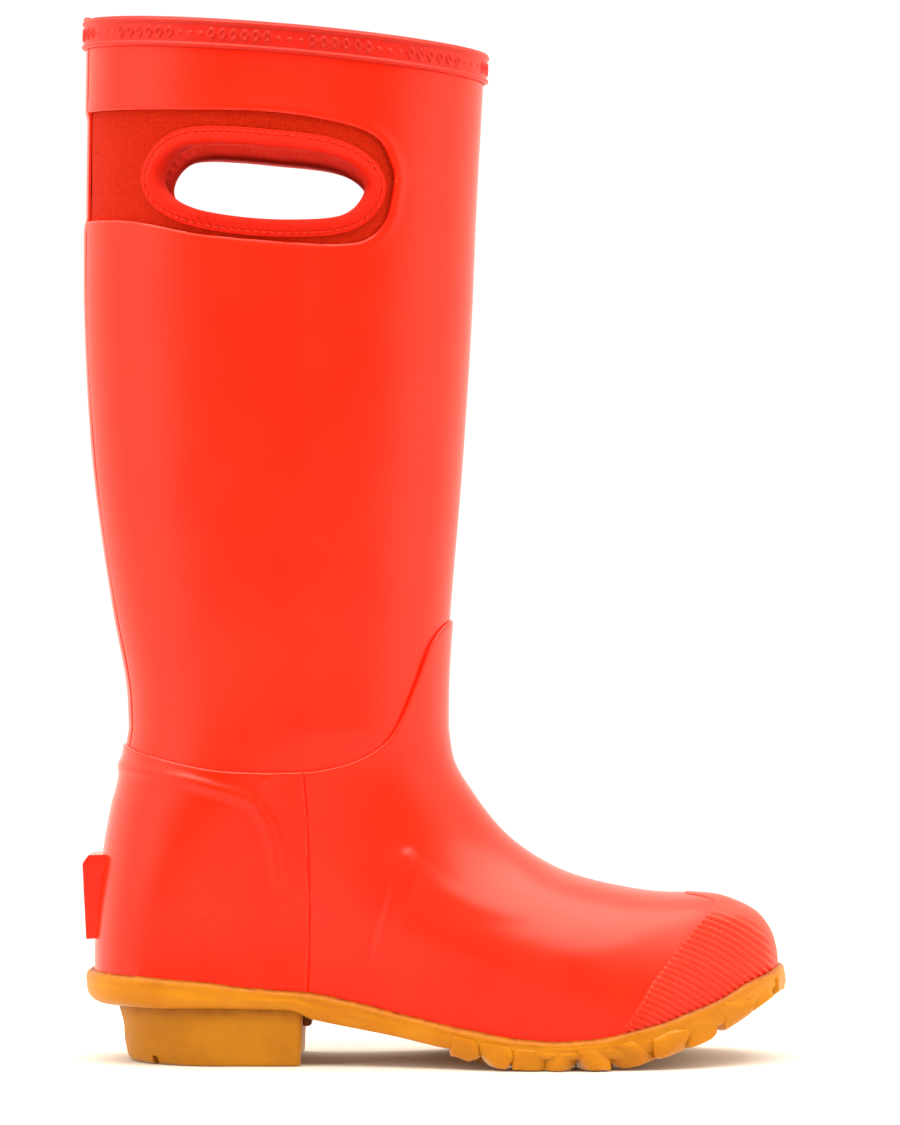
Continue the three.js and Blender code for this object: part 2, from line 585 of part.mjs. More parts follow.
for (const [side, label] of [[-1, "outer"], [1, "inner"]]) {
  place("handle_binding_" + label, bindingOf(side), knit());
  place("binding_stitch_" + label, threadOf(side), surface(0xe04030, 0.8));
}
place("footbed", footbed(), surface(0x303030, 0.9));
place("footbed_cover", footbedCover(), textile());

export default group;
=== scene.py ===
import math

import bmesh
import bpy
import numpy as np
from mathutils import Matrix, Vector


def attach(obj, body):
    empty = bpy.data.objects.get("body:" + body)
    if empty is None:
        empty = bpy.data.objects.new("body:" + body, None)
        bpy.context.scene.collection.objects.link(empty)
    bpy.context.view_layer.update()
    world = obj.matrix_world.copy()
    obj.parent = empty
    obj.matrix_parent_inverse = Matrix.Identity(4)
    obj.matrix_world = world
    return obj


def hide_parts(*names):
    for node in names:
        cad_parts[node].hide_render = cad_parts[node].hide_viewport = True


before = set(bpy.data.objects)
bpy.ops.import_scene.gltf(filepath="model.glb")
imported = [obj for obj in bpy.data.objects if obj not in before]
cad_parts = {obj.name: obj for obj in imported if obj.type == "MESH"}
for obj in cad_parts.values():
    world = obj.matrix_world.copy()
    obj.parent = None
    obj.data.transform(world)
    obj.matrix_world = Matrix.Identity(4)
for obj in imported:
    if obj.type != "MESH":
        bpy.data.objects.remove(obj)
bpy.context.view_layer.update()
print("frame loaded")

mm = 0.001

# The boot's outer surface.
# Sizes in millimetres; shares run from -1 at the heel to 1 at the toe.
boot = {
    "length": 282.4, "height": 417, "rimFall": 13.5, "rimArch": 3.0, "ankleHeight": 133,
    "shaftFront": 20.4, "shaftBack": -139.4, "welt": 5, "below": 40, "beyond": 12,
    "rubber": 1.7, "overlay": 1.5, "capOut": 2.7, "neopreneOut": -2.0,
    "liningOut": -6.5, "liningIn": -7.3,
}


# a plus the share t of the way to b.
def mix(a, b, t):
    return a + (b - a) * t


# Three t squared less two t cubed, between 0 and 1, and flat outside.
def smooth(t):
    t = np.clip(t, 0, 1)
    return t * t * (3 - 2 * t)


# A share of half the sole's length, from its middle.
def along(share):
    return share * boot["length"] / 2


# A cubic through [x, value] pairs, flat beyond both ends. The slope at each pair is that of its
# neighbours' chord.
def curveThrough(knots):
    xs, ys = np.array(knots, float).T
    slopes = np.gradient(ys)
    slopes[1:-1] = (ys[2:] - ys[:-2]) / (xs[2:] - xs[:-2])
    slopes[0] = (ys[1] - ys[0]) / (xs[1] - xs[0])
    slopes[-1] = (ys[-1] - ys[-2]) / (xs[-1] - xs[-2])

    def value(x):
        x = np.clip(x, xs[0], xs[-1])
        i = np.clip(np.searchsorted(xs, x, side="right") - 1, 0, len(xs) - 2)
        span = xs[i + 1] - xs[i]
        t = (x - xs[i]) / span
        start = (1 + 2 * t) * (1 - t) ** 2 * ys[i] + t * (1 - t) ** 2 * span * slopes[i]
        return start + t * t * (3 - 2 * t) * ys[i + 1] + t * t * (t - 1) * span * slopes[i + 1]

    return value


# A centripetal Catmull-Rom line through upright points; gives x and z at a share of its length.
def lineThrough(points, steps=240):
    p = np.array(points, float)
    p = np.vstack([2 * p[0] - p[1], p, 2 * p[-1] - p[-2]])
    t = np.arange(steps)[:, None] / steps
    runs = []
    for i in range(1, len(p) - 2):
        d0, d1, d2 = (np.linalg.norm(p[k + 1] - p[k]) ** 0.5 for k in (i - 1, i, i + 1))
        a = ((p[i] - p[i - 1]) / d0 - (p[i + 1] - p[i - 1]) / (d0 + d1) + (p[i + 1] - p[i]) / d1) * d1
        b = ((p[i + 1] - p[i]) / d1 - (p[i + 2] - p[i]) / (d1 + d2) + (p[i + 2] - p[i + 1]) / d2) * d1
        c = -3 * p[i] + 3 * p[i + 1] - 2 * a - b
        d = 2 * p[i] - 2 * p[i + 1] + a + b
        runs.append(p[i] + a * t + c * t**2 + d * t**3)
    q = np.vstack([*runs, p[-2:-1]])
    run = np.concatenate([[0], np.cumsum(np.linalg.norm(np.diff(q, axis=0), axis=1))])
    run /= run[-1]
    return lambda share: (np.interp(share, run, q[:, 0]), np.interp(share, run, q[:, 1]))


featherZ = curveThrough([
    (along(-1), 33.8), (along(-0.84), 32.8), (along(-0.7), 30.8), (along(-0.52), 28.2), (along(-0.35), 26.2),
    (along(-0.1), 18.7), (along(0.035), 14.3), (along(0.2), 10.2), (along(0.32), 8.8), (along(0.43), 9.2),
    (along(0.52), 11.2), (along(0.62), 14.8), (along(0.71), 19.3), (along(0.79), 23.8), (along(0.88), 30),
    (along(1), 37),
])
rimFront = boot["height"] - boot["rimFall"]
toeX = along(1) - boot["welt"]
heelX = along(-1) + boot["welt"] + 1.6


# The height at a share of the way from the ankle to the rim.
def shaftZ(share):
    return boot["ankleHeight"] + share * (boot["height"] - boot["ankleHeight"])


frontFoot = lineThrough([
    (toeX, float(featherZ(toeX))), (along(0.959), 44), (along(0.942), 51), (along(0.899), 58.2),
    (along(0.8215), 63.4), (along(0.7365), 64.9), (along(0.616), 65.8), (along(0.4816), 69.2),
    (along(0.354), 75),
    (along(0.255), 83), (along(0.18), 92.2), (along(0.099), 107), (along(0.0496), 119), (along(0.0326), 133),
])
frontShaft = lineThrough([
    (along(0.0326), 133), (along(0.0355), shaftZ(0.08)), (along(0.0524), shaftZ(0.195)),
    (mix(along(0.0524), boot["shaftFront"], 0.4), shaftZ(0.42)),
    (mix(along(0.0524), boot["shaftFront"], 0.68), shaftZ(0.66)),
    (boot["shaftFront"], rimFront), (boot["shaftFront"] + 0.6, rimFront + boot["beyond"]),
])
backFoot = lineThrough([
    (heelX, float(featherZ(heelX))), (along(-0.951), 48), (along(-0.928), 84), (along(-0.889), 114),
    (along(-0.867), 133),
])
backShaft = lineThrough([
    (along(-0.867), 133), (along(-0.874), shaftZ(0.06)), (along(-0.914), shaftZ(0.17)),
    (along(-0.969), shaftZ(0.365)), (boot["shaftBack"] - 0.9, shaftZ(0.57)),
    (boot["shaftBack"] - 1.1, shaftZ(0.73)),
    (boot["shaftBack"], boot["height"]), (boot["shaftBack"], boot["height"] + boot["beyond"]),
])
soleHalf = curveThrough([
    (along(-1), 30), (along(-0.62), 30), (along(-0.2), 28), (along(0.28), 45), (along(0.5), 45),
    (along(0.9), 37)])
soleSwing = curveThrough([(along(-0.6), 0), (along(-0.15), -3), (along(0.3), -1), (along(0.65), 2.2),
    (along(1), 7)])
shaftHalf = curveThrough([
    (0, 38.5), (1, 38.5), (1.2, mix(38.5, 47, 0.42)), (1.42, mix(38.5, 47, 0.82)), (1.65, 47), (2, 47)])
frontTaper = curveThrough([(0, 55), (0.28, 110), (0.5, 125), (0.75, 108), (1, 63)])
backTaper = curveThrough([(0, 34), (0.5, 38), (1, 63)])


# Below ring 1 the foot's line at ring to a power, above it the shaft's line at ring less 1.
def either(ring, foot, shaft, power):
    below, above = foot(np.clip(ring, 0, 1) ** power), shaft(np.clip(ring - 1, 0, 1))
    return np.where(ring < 1, below[0], above[0]), np.where(ring < 1, below[1], above[1])


# A superellipse's height at a share of its reach: 0 at the end, 1 from the reach on.
def roundEnd(t, power):
    return (1 - (1 - np.clip(t, 0, 1)) ** power) ** (1 / power)


# The skin: ring 0 is the feather edge, 1 the ankle, 2 above the rim; angle 0 is the back and pi the front.
# x runs between the back and front lines by the cosine, y is the half width rounded off at both ends,
# z joins the two lines and follows the feather edge low down.
def skin(ring, angle):
    ring, angle = np.broadcast_arrays(np.asarray(ring, float), np.asarray(angle, float))
    level = np.clip(ring, 0, 2)
    frontX, frontZ = either(level, frontFoot, frontShaft, 1)
    backX, backZ = either(level, backFoot, backShaft, 1.6)
    depth = frontX - backX
    share = (1 - np.cos(angle)) / 2
    x = backX + depth * share
    shaft = smooth((level - 0.15) / 0.9)
    half = mix(soleHalf(x), shaftHalf(level), shaft)
    frontReach = np.where(level < 1, frontTaper(level), depth / 2)
    backReach = np.where(level < 1, backTaper(level), depth / 2)
    power = mix(2.25, 2, smooth(level))
    ends = roundEnd((frontX - x) / frontReach, power) * roundEnd((x - backX) / backReach, power)
    straight = mix(featherZ(backX), featherZ(frontX), share)
    dip = (featherZ(x) - straight) * (1 - smooth(level / 0.85))
    y = np.sign(np.sin(angle)) * half * ends + soleSwing(x) * (1 - shaft)
    z = mix(backZ, frontZ, share) + dip + np.minimum(ring, 0) * boot["below"]
    return np.stack([x, y, z], axis=-1)


# A vector over its own length.
def unit(v):
    return v / np.maximum(np.linalg.norm(v, axis=-1, keepdims=True), 1e-9)


# Up along the rings crossed with the way round gives the outward normal.
def skinNormal(ring, angle):
    ring = np.asarray(ring, float)
    low = np.clip(ring, 0.004, 1.996)
    around = skin(ring, angle + 0.012) - skin(ring, angle - 0.012)
    up = skin(low + 0.004, angle) - skin(low - 0.004, angle)
    return unit(np.cross(up, around))


# The skin's point and normal at a ring and an angle.
def onSkin(ring, angle):
    return skin(ring, angle), skinNormal(ring, angle)


# Angle at which a ring passes a given x, on the side named by +1 (inner) or -1 (outer).
def angleAtX(x, ring, side):
    level = np.clip(ring, 0, 2)
    frontX, backX = either(level, frontFoot, frontShaft, 1)[0], either(level, backFoot, backShaft, 1.6)[0]
    share = np.clip((x - backX) / (frontX - backX), 0, 1)
    return side * np.arccos(1 - 2 * share)


# Halves a range until test(value) changes from False to True inside it.
def halve(test, low, high, rounds=34):
    low, high = np.array(low, float), np.array(high, float)
    for _ in range(rounds):
        mid = (low + high) / 2
        hit = test(mid)
        high = np.where(hit, mid, high)
        low = np.where(hit, low, mid)
    return (low + high) / 2


# The ring at which the skin, followed by angleOf(ring), first rises above a side-view line zOf(x).
def ringAt(zOf, angleOf, like, low=0.0, high=2.0):
    def above(ring):
        p = skin(ring, angleOf(ring))
        return p[..., 2] > zOf(p[..., 0])
    return halve(above, np.full(np.shape(like), low), np.full(np.shape(like), high))


# Skin point and normal seen from one side at x, z.
def onSide(x, z, side):
    like = np.shape(x)
    ring = halve(lambda r: skin(r, angleAtX(x, r, side))[..., 2] > z, np.zeros(like), np.full(like, 2.0))
    return onSkin(ring, angleAtX(x, ring, side))


# Angle from the back at which a ring reaches half width y.
def angleAtY(y, ring):
    like = np.shape(ring)
    return halve(lambda a: np.abs(skin(ring, a)[..., 1]) > np.abs(y), np.zeros(like), np.full(like, 1.2))


# Rim line: a straight fall from back to front, arched up a little in between.
def rimZ(x):
    share = (x - boot["shaftBack"]) / (boot["shaftFront"] - boot["shaftBack"])
    arched = np.clip(share, 0, 1)
    return mix(boot["height"], rimFront, share) + boot["rimArch"] * arched * (1 - arched)


overlayEdge = curveThrough([
    (-127, 128.5), (-119, 124.6), (-98, 119.4), (-81, 117), (-52.4, 116.8), (-42, 118), (-30, 121.4),
    (-20, 127.5),
    (-14.5, 135), (-8, 150), (-2.3, 165.5), (2.5, 173), (8.8, 177.6), (14, 178.5)])
seamX = curveThrough([(26, -49.8), (64, -49.0), (100, -50.2), (117, -51.6)])  # side seam, by height


# Meshes from grids.
# A sum of sine waves in fixed random directions: an even, repeatable unevenness of about -1 to 1.
def unevenness(points, size, seed, waves=7):
    spin = np.random.default_rng(seed)
    ways = unit(spin.normal(size=(waves, 3))) * (2 * math.pi / size) * spin.uniform(0.7, 1.5, (waves, 1))
    shifts = spin.uniform(0, 2 * math.pi, waves)
    return np.sin(points @ ways.T + shifts).sum(-1) / math.sqrt(waves)


# Corner numbers of the quads of a grid, closed round its first or second way if asked.
def gridQuads(rows, columns, closedRows=False, closedColumns=False):
    i = np.arange(rows if closedRows else rows - 1)[:, None]
    j = np.arange(columns if closedColumns else columns - 1)[None, :]
    corner = lambda a, b: (a % rows) * columns + (b % columns)
    return np.stack([corner(i, j), corner(i + 1, j), corner(i + 1, j + 1), corner(i, j + 1)], -1).reshape(-1,
        4)


# Grids in millimetres become one mesh in metres: equal points are merged, and a quad that loses a corner
# turns into a triangle.
def meshOf(name, grids, tone=None):
    points, quads, count = [], [], 0
    for grid in grids:
        g, rowsClosed, columnsClosed = (grid if isinstance(grid, tuple) else (grid, False, False))
        points.append(g.reshape(-1, 3))
        quads.append(gridQuads(g.shape[0], g.shape[1], rowsClosed, columnsClosed) + count)
        count += points[-1].shape[0]
    points, quads = np.vstack(points), np.vstack(quads)
    _, first, back = np.unique(np.round(points * 2e3), axis=0, return_index=True, return_inverse=True)
    quads = back.reshape(-1)[quads]
    same = quads == np.roll(quads, -1, axis=1)
    lost = same.sum(1)
    faces = quads[lost == 0].tolist() + quads[lost == 1][~same[lost == 1]].reshape(-1, 3).tolist()
    mesh = bpy.data.meshes.new(name)
    mesh.from_pydata((points[first] * mm).tolist(), [], faces)
    if tone is not None:  # one number per point, kept as an attribute that a material reads
        kept = np.asarray(tone, np.float32).reshape(-1)[first]
        mesh.attributes.new("tone", "FLOAT", "POINT").data.foreach_set("value", kept)
    return mesh


def pieceOf(name, mesh, body, nodes, material, crease=48):
    work = bmesh.new()
    work.from_mesh(mesh)
    bmesh.ops.dissolve_degenerate(work, edges=work.edges, dist=1e-7)
    bmesh.ops.recalc_face_normals(work, faces=work.faces)
    work.to_mesh(mesh)
    work.free()
    mesh.validate()
    mesh.polygons.foreach_set("use_smooth", np.ones(len(mesh.polygons), bool))
    mesh.set_sharp_from_angle(angle=math.radians(crease))
    piece = bpy.data.objects.new(name, mesh)
    bpy.context.scene.collection.objects.link(piece)
    mesh.materials.append(material)
    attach(piece, body)
    if nodes:
        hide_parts(*nodes)
    return piece


# Shares from 0 to 1, evenly spaced, with more close to both ends so that a rounded lip is smooth.
def shares(count, length, lip, first=True, last=True):
    extra = lip / length * np.array([0.03, 0.1, 0.22, 0.4, 0.65, 0.9])
    t = [np.linspace(0, 1, count)]
    if first:
        t.append(extra)
    if last:
        t.append(1 - extra)
    t = np.unique(np.concatenate(t))
    return t[np.concatenate([[True], np.diff(t) > 0.02 * lip / length])]


# How far a rounded lip has fallen at a distance from the edge: a quarter circle.
def lipDrop(distance, radius):
    d = np.clip(distance, 0, radius)
    return radius - np.sqrt(np.maximum(radius**2 - (radius - d) ** 2, 0))


# Distances of each grid point from the grid's four sides, along the grid.
def sideDistances(p):
    rows = np.concatenate([np.zeros((1, p.shape[1])),
        np.cumsum(np.linalg.norm(np.diff(p, axis=0), axis=-1), axis=0)])
    columns = np.concatenate(
        [np.zeros((p.shape[0], 1)), np.cumsum(np.linalg.norm(np.diff(p, axis=1), axis=-1), axis=1)], axis=1)
    return rows, rows[-1:] - rows, columns, columns[:, -1:] - columns


# A wall between two offsets of a skin grid, with the four narrow sides that close it.
def wall(points, normals, outer, inner):
    top = points + normals * np.broadcast_to(outer, points.shape[:2])[..., None]
    low = points + normals * np.broadcast_to(inner, points.shape[:2])[..., None]
    edges = [np.stack([low[:, k], top[:, k]]) for k in (0, -1)] + [np.stack([low[k], top[k]]) for k in (0,
        -1)]
    return [top, low] + edges


# Materials.
# Short forms for the nodes of one material.
class Shader:
    def __init__(self, name):
        self.material = bpy.data.materials.new(name)
        self.material.use_nodes = True
        self.tree = self.material.node_tree
        self.shader = self.tree.nodes["Principled BSDF"]
        self.place = self.add("ShaderNodeTexCoord").outputs["Object"]

    # A node with its settings, and its inputs linked or set.
    def add(self, kind, links=(), **settings):
        made = self.tree.nodes.new(kind)
        for key, value in settings.items():
            setattr(made, key, value)
        for key, value in dict(links).items():
            if isinstance(value, bpy.types.NodeSocket):
                self.tree.links.new(value, made.inputs[key])
            else:
                made.inputs[key].default_value = value
        return made

    def set(self, **values):
        for key, value in values.items():
            self.put(key.replace("_", " "), value)

    # One input of the shader, linked or set.
    def put(self, key, value):
        if isinstance(value, bpy.types.NodeSocket):
            self.tree.links.new(value, self.shader.inputs[key])
        else:
            self.shader.inputs[key].default_value = value

    # Noise over the piece at a scale.
    def noise(self, scale, detail=4, rough=0.55):
        links = {"Vector": self.place, "Scale": scale, "Detail": detail, "Roughness": rough}
        return self.add("ShaderNodeTexNoise", links).outputs["Fac"]

    # A value moved from one range to another.
    def spread(self, value, low, high, fromLow=0.3, fromHigh=0.7):
        links = {"Value": value, "From Min": fromLow, "From Max": fromHigh, "To Min": low, "To Max": high}
        return self.add("ShaderNodeMapRange", links).outputs["Result"]

    # Bands along a vector.
    def wave(self, vector, scale, distortion, **more):
        links = {"Vector": vector, "Scale": scale, "Distortion": distortion, **more.pop("links", {})}
        return self.add("ShaderNodeTexWave", links, **more).outputs["Fac"]

    # The mix of two colors by a factor.
    def blend(self, factor, first, second, kind="MIX"):
        made = self.add("ShaderNodeMix", {}, data_type="RGBA", blend_type=kind)
        for socket, value in ((made.inputs[0], factor), (made.inputs[6], first), (made.inputs[7], second)):
            if isinstance(value, bpy.types.NodeSocket):
                self.tree.links.new(value, socket)
            else:
                socket.default_value = value
        return made.outputs[2]

    def math(self, kind, first, second):
        return self.add("ShaderNodeMath", {0: first, 1: second}, operation=kind).outputs[0]

    # Height as a bend of the normal.
    def bump(self, height, strength, distance):
        made = self.add("ShaderNodeBump", {"Height": height, "Strength": strength, "Distance": distance})
        self.put("Normal", made.outputs["Normal"])


# Screen levels of 0 to 255 as linear light, by the sRGB curve.
def linear(red, green, blue):
    parts = [c / 255 for c in (red, green, blue)]
    return (*[c / 12.92 if c <= 0.04045 else ((c + 0.055) / 1.055) ** 2.4 for c in parts], 1.0)


# Moulded rubber: one pigment with a faint mottle, a satin skin whose gloss varies, a slight long-wave
# waviness.
def rubberLook(name, look):
    s = Shader(name)
    mottle = s.spread(s.noise(28, 1.5), 0, 1, 0.2, 0.8)
    s.put("Base Color", s.blend(mottle, look["color"], look["shade"]))
    s.put("Roughness", s.spread(s.noise(40, 1.5), look["rough"] - 0.02, look["rough"] + 0.03, 0.2, 0.8))
    fine = s.math("MULTIPLY", s.noise(900, 3), 0.16)
    wave = s.math("ADD", s.noise(22, 2, 0.4), fine)
    s.bump(wave, look["bump"], 0.0012)
    s.put("Specular IOR Level", look["specular"])
    s.put("Coat Weight", look["coat"])
    s.put("Coat Roughness", look["coatRough"])
    return s.material


rubberColors = {"color": linear(242, 36, 2), "shade": linear(234, 29, 1), "rough": 0.33, "bump": 0.16,
                "specular": 0.5, "coat": 0.0, "coatRough": 0.2}
glossRubber = rubberLook("glossy red rubber", rubberColors)
quarterRubber = rubberLook("glossier red rubber", {**rubberColors, "rough": 0.27, "coat": 0.1,
    "coatRough": 0.12})
capRubber = rubberLook(
    "ribbed red rubber", {**rubberColors, "color": linear(238, 52, 24), "shade": linear(226, 42, 18),
    "rough": 0.45})
bandRubber = rubberLook(
    "band red rubber", {**rubberColors, "color": linear(204, 26, 6), "shade": linear(194, 20, 5),
    "rough": 0.42})


# Neoprene with a brushed jersey face: fine felted grain, light fuzz towards the edges.
def neopreneLook(name, color, shade, scale):
    s = Shader(name)
    grain = s.noise(scale, 8, 0.7)
    s.put("Base Color", s.blend(s.spread(grain, 0, 1, 0.35, 0.68), color, shade))
    s.put("Roughness", s.spread(s.noise(scale / 3, 4), 0.82, 0.96))
    s.bump(grain, 0.8, 0.0006)
    s.put("Specular IOR Level", 0.1)
    s.put("Sheen Weight", 0.03)
    s.put("Sheen Roughness", 0.5)
    return s.material


neopreneRed = neopreneLook("red neoprene", linear(164, 20, 2), linear(202, 42, 7), 1500)


# Knitted tape: rows of small loops from two crossed waves on the piece's own map, softened with noise.
def knitLook(name, color, shade, across, alongside):
    s = Shader(name)
    uv = s.add("ShaderNodeUVMap", uv_map="knit").outputs["UV"]
    both = []
    for turn, scale in ((0, across), (math.pi / 2, alongside)):
        turned = s.add("ShaderNodeMapping", {"Vector": uv, "Rotation": (0, 0, turn)}).outputs["Vector"]
        both.append(s.wave(turned, scale, 0.6, links={"Detail": 1.0, "Detail Scale": 2.0}))
    weave = s.math("MULTIPLY", both[0], both[1])
    s.put("Base Color", s.blend(s.spread(weave, 0, 1, 0.1, 0.7), shade, color))
    s.put("Roughness", s.spread(s.noise(300, 4), 0.6, 0.78))
    s.bump(weave, 0.5, 0.0003)
    s.put("Specular IOR Level", 0.2)
    return s.material


knitRed = knitLook("knitted red binding", linear(236, 38, 4), linear(206, 22, 3), 9, 9)


# Gum rubber: amber with cloudy darker patches, blended towards a dark colour by the tone attribute: darkest
# along the rim's top edge where it meets the upper; painted shade under the rim's overhang, round the sole's
# bottom and on the step under the waist.
def gumLook(name, color, shade, stainAndShade, rough):
    s = Shader(name)
    cloud = s.spread(s.noise(35, 6, 0.6), 0, 1, 0.35, 0.7)
    body = s.blend(cloud, color, shade)
    tone = s.add("ShaderNodeAttribute", attribute_name="tone").outputs["Fac"]
    spots = s.math("MULTIPLY", tone, s.spread(s.noise(260, 5), 0.55, 1.2))
    s.put("Base Color", s.blend(spots, body, stainAndShade))
    s.put("Roughness", s.spread(s.noise(90, 5), rough - 0.06, rough + 0.08))
    s.bump(s.math("ADD", s.noise(70, 4), s.math("MULTIPLY", s.noise(700, 3), 0.3)), 0.3, 0.0008)
    s.put("Subsurface Weight", 0.25)
    s.put("Subsurface Radius", (1.0, 0.45, 0.12))
    s.put("Subsurface Scale", 0.004)
    s.put("Specular IOR Level", 0.25)
    return s.material


gumRim = gumLook("amber gum rubber", linear(200, 132, 18), linear(184, 113, 12), linear(120, 48, 12), 0.42)
# The heel block's gum is a darker copy of the rim's gum: its darker pigment is painted shade, the heel being
# moulded in one with the rim; its higher roughness gives its matte face.
shadedGumHeel = gumLook("amber gum heel painted darker", linear(182, 120, 18), linear(166, 104, 13), linear(110, 46, 12), 0.58)


# Woven or felted inner textile.
def textileLook(name, color, shade, scale):
    s = Shader(name)
    rows = s.wave(s.place, scale, 1.2, links={"Detail": 2.0}, bands_direction="Z")
    posts = s.wave(s.place, scale, 1.2, links={"Detail": 2.0}, bands_direction="DIAGONAL")
    weave = s.math("MULTIPLY", rows, posts)
    s.put("Base Color", s.blend(s.spread(weave, 0, 1, 0.1, 0.8), shade, color))
    s.put("Roughness", s.spread(s.noise(200, 4), 0.85, 0.97))
    s.bump(weave, 0.5, 0.0004)
    s.put("Specular IOR Level", 0.2)
    s.put("Sheen Weight", 0.2)
    return s.material


greyLining = textileLook("grey jersey lining", linear(74, 76, 80), linear(46, 48, 52), 420)
boardLook = textileLook("pressed fibre board", linear(190, 164, 124), linear(160, 134, 98), 150)
stiffLook = textileLook("impregnated stiffener", linear(70, 66, 62), linear(48, 45, 42), 260)
foamLook = textileLook("open cell foam", linear(120, 122, 126), linear(84, 86, 90), 600)


# Bare steel: metallic, with a grey mottle.
def steelLook(name):
    s = Shader(name)
    s.put("Metallic", 1.0)
    s.put("Base Color", s.blend(s.spread(s.noise(120, 6), 0, 1), linear(170, 172, 176),
        linear(138, 140, 146)))
    s.put("Roughness", s.spread(s.noise(400, 4), 0.26, 0.42))
    return s.material


# Twisted thread: two pigments in diagonal bands.
def threadLook(name, color, shade):
    s = Shader(name)
    twist = s.wave(s.place, 900.0, 0.5, bands_direction="DIAGONAL")
    s.put("Base Color", s.blend(twist, color, shade))
    s.put("Roughness", s.spread(s.noise(300, 2), 0.5, 0.7))
    s.bump(twist, 0.4, 0.0002)
    return s.material


redThread = threadLook("red sewing thread", linear(238, 52, 30), linear(206, 26, 12))
print("materials made")

# Vamp and quarter.
upper = {"lip": 1.1, "lap": 10, "columns": 250, "rows": 96, "seamRise": 0.85}


# Where the side seam crosses a ring: the angle at the seam's x for that point's height, in four rounds.
def seamAngle(ring, side):
    angle = angleAtX(-50.0, ring, side)
    for _ in range(4):
        angle = angleAtX(seamX(skin(ring, angle)[..., 2]), ring, side)
    return angle


# A ridge across a side-view polyline: 1 on the line, falling to 0 at the width, by a smooth step.
def nearLine(x, z, line, width):
    line = np.array(line, float)
    best = np.full(np.shape(x), 1e9)
    for a, b in zip(line[:-1], line[1:]):
        way = b - a
        t = np.clip(((x - a[0]) * way[0] + (z - a[1]) * way[1]) / (way @ way), 0, 1)
        best = np.minimum(best, np.hypot(x - a[0] - t * way[0], z - a[1] - t * way[1]))
    return smooth(1 - best / width)


# Outer face of the overlays: even, with the counter's edge showing through at the heel and soft folds in
# front.
def overlayRelief(p):
    x, z = p[..., 0], p[..., 2]
    counter = [(-150, 122), (-97, 113), (-76, 107.5), (-71, 104.5), (-65.5, 95.5), (-62.8, 86.5),
        (-61.5, 76), (-61.5, 62)]
    edge = nearLine(x, z, counter, 4.2) * smooth((z - 58) / 18) * smooth((x + 140) / 25)
    inside = smooth((-(x + 66) - 0.35 * np.maximum(z - 88, 0)) / 6) * smooth((110 - z) / 8)
    fold = nearLine(x, z, [(-11, 82), (-13.8, 70.5), (-17.4, 58.3), (-21.4, 43)], 5.5) * smooth((z - 36) / 12)
    fold2 = nearLine(x, z, [(-5, 77), (4, 68.6), (14, 64), (34, 60)], 6) * 0.6
    corner = nearLine(x, z, [(-62, 116), (-68, 113), (-71, 106)], 3) * 0.5
    return 1.6 * edge + 0.5 * inside + 1.3 * fold + 0.45 * fold2 + 0.8 * corner + 0.14 * unevenness(p, 46, 3)


# One overlay panel: q runs across it, v up to the ring where the skin meets the top edge.
def overlayPanel(spec, angleOf, seamLip):
    q = 2 * shares(spec["columns"], 330, spec["lip"]) - 1
    v = shares(spec["rows"], 100, spec["lip"], first=False)
    top = ringAt(overlayEdge, lambda r: angleOf(q, r), q, 0.3, 1.6)
    ring = top[:, None] * v[None, :]
    points, normals = onSkin(ring, angleOf(q[:, None], ring))
    left, right, low, high = sideDistances(points)
    seam = np.minimum(left, right)
    outer = boot["overlay"] + overlayRelief(points) - lipDrop(high, spec["lip"]) - lipDrop(seam, seamLip)
    outer += spec["seamRise"] * np.exp(-(((seam - 0.55) / 0.4) ** 2)) * (0.8 + 0.35 * unevenness(points, 9,
        31))
    lapped = points[..., 2] > overlayEdge(points[..., 0]) - spec["lap"]
    inner = np.where(lapped, 0.3, -boot["rubber"])
    return wall(points, normals, outer, inner)


quarter = overlayPanel(
    {**upper, "columns": 210}, lambda q, r: np.where(q < 0, -1, 1) * np.abs(q) * seamAngle(r, 1), 0.3)
pieceOf("heelQuarter", meshOf("heelQuarter", quarter), "boot", ["heel_quarter"], quarterRubber)
vampGrids = overlayPanel(
    {**upper, "columns": 330, "seamRise": 0.0}, lambda q, r: math.pi + q * (math.pi - seamAngle(r, 1)), 0.45)
pieceOf("vamp", meshOf("vamp", vampGrids), "boot", ["vamp"], glossRubber)
print("vamp and quarter made")

# Toe cap.
cap = {"columns": 230, "rows": 196, "lip": 1.1, "pitch": 2.47, "height": 1.3, "start": 0.23, "bend": 0.011}
capX = curveThrough([(8, 67.5), (14.1, 71.6), (24.2, 78.4), (36.6, 86.2), (51.6, 99.1), (60, 107.5),
    (64.2, 111.6),
                     (65.9, 110.6), (66.9, 106), (67.7, 100.8),
                     (70, 100)])  # rear edge, by height of the outer face


# Distance along the rear edge of the rib through a point: each rib is the same falling curve, moved down
# the edge.
def ribPhase(x, z):
    edge = np.array([-0.715, -0.70])
    def over(w):
        t = (111.5 + w - x) / -edge[0]
        return 65 - cap["start"] * w - cap["bend"] * w * np.abs(w) + edge[1] * t < z
    w = halve(over, np.full(np.shape(x), -30.0), np.full(np.shape(x), 110.0))
    return (111.5 + w - x) / -edge[0] / cap["pitch"], w


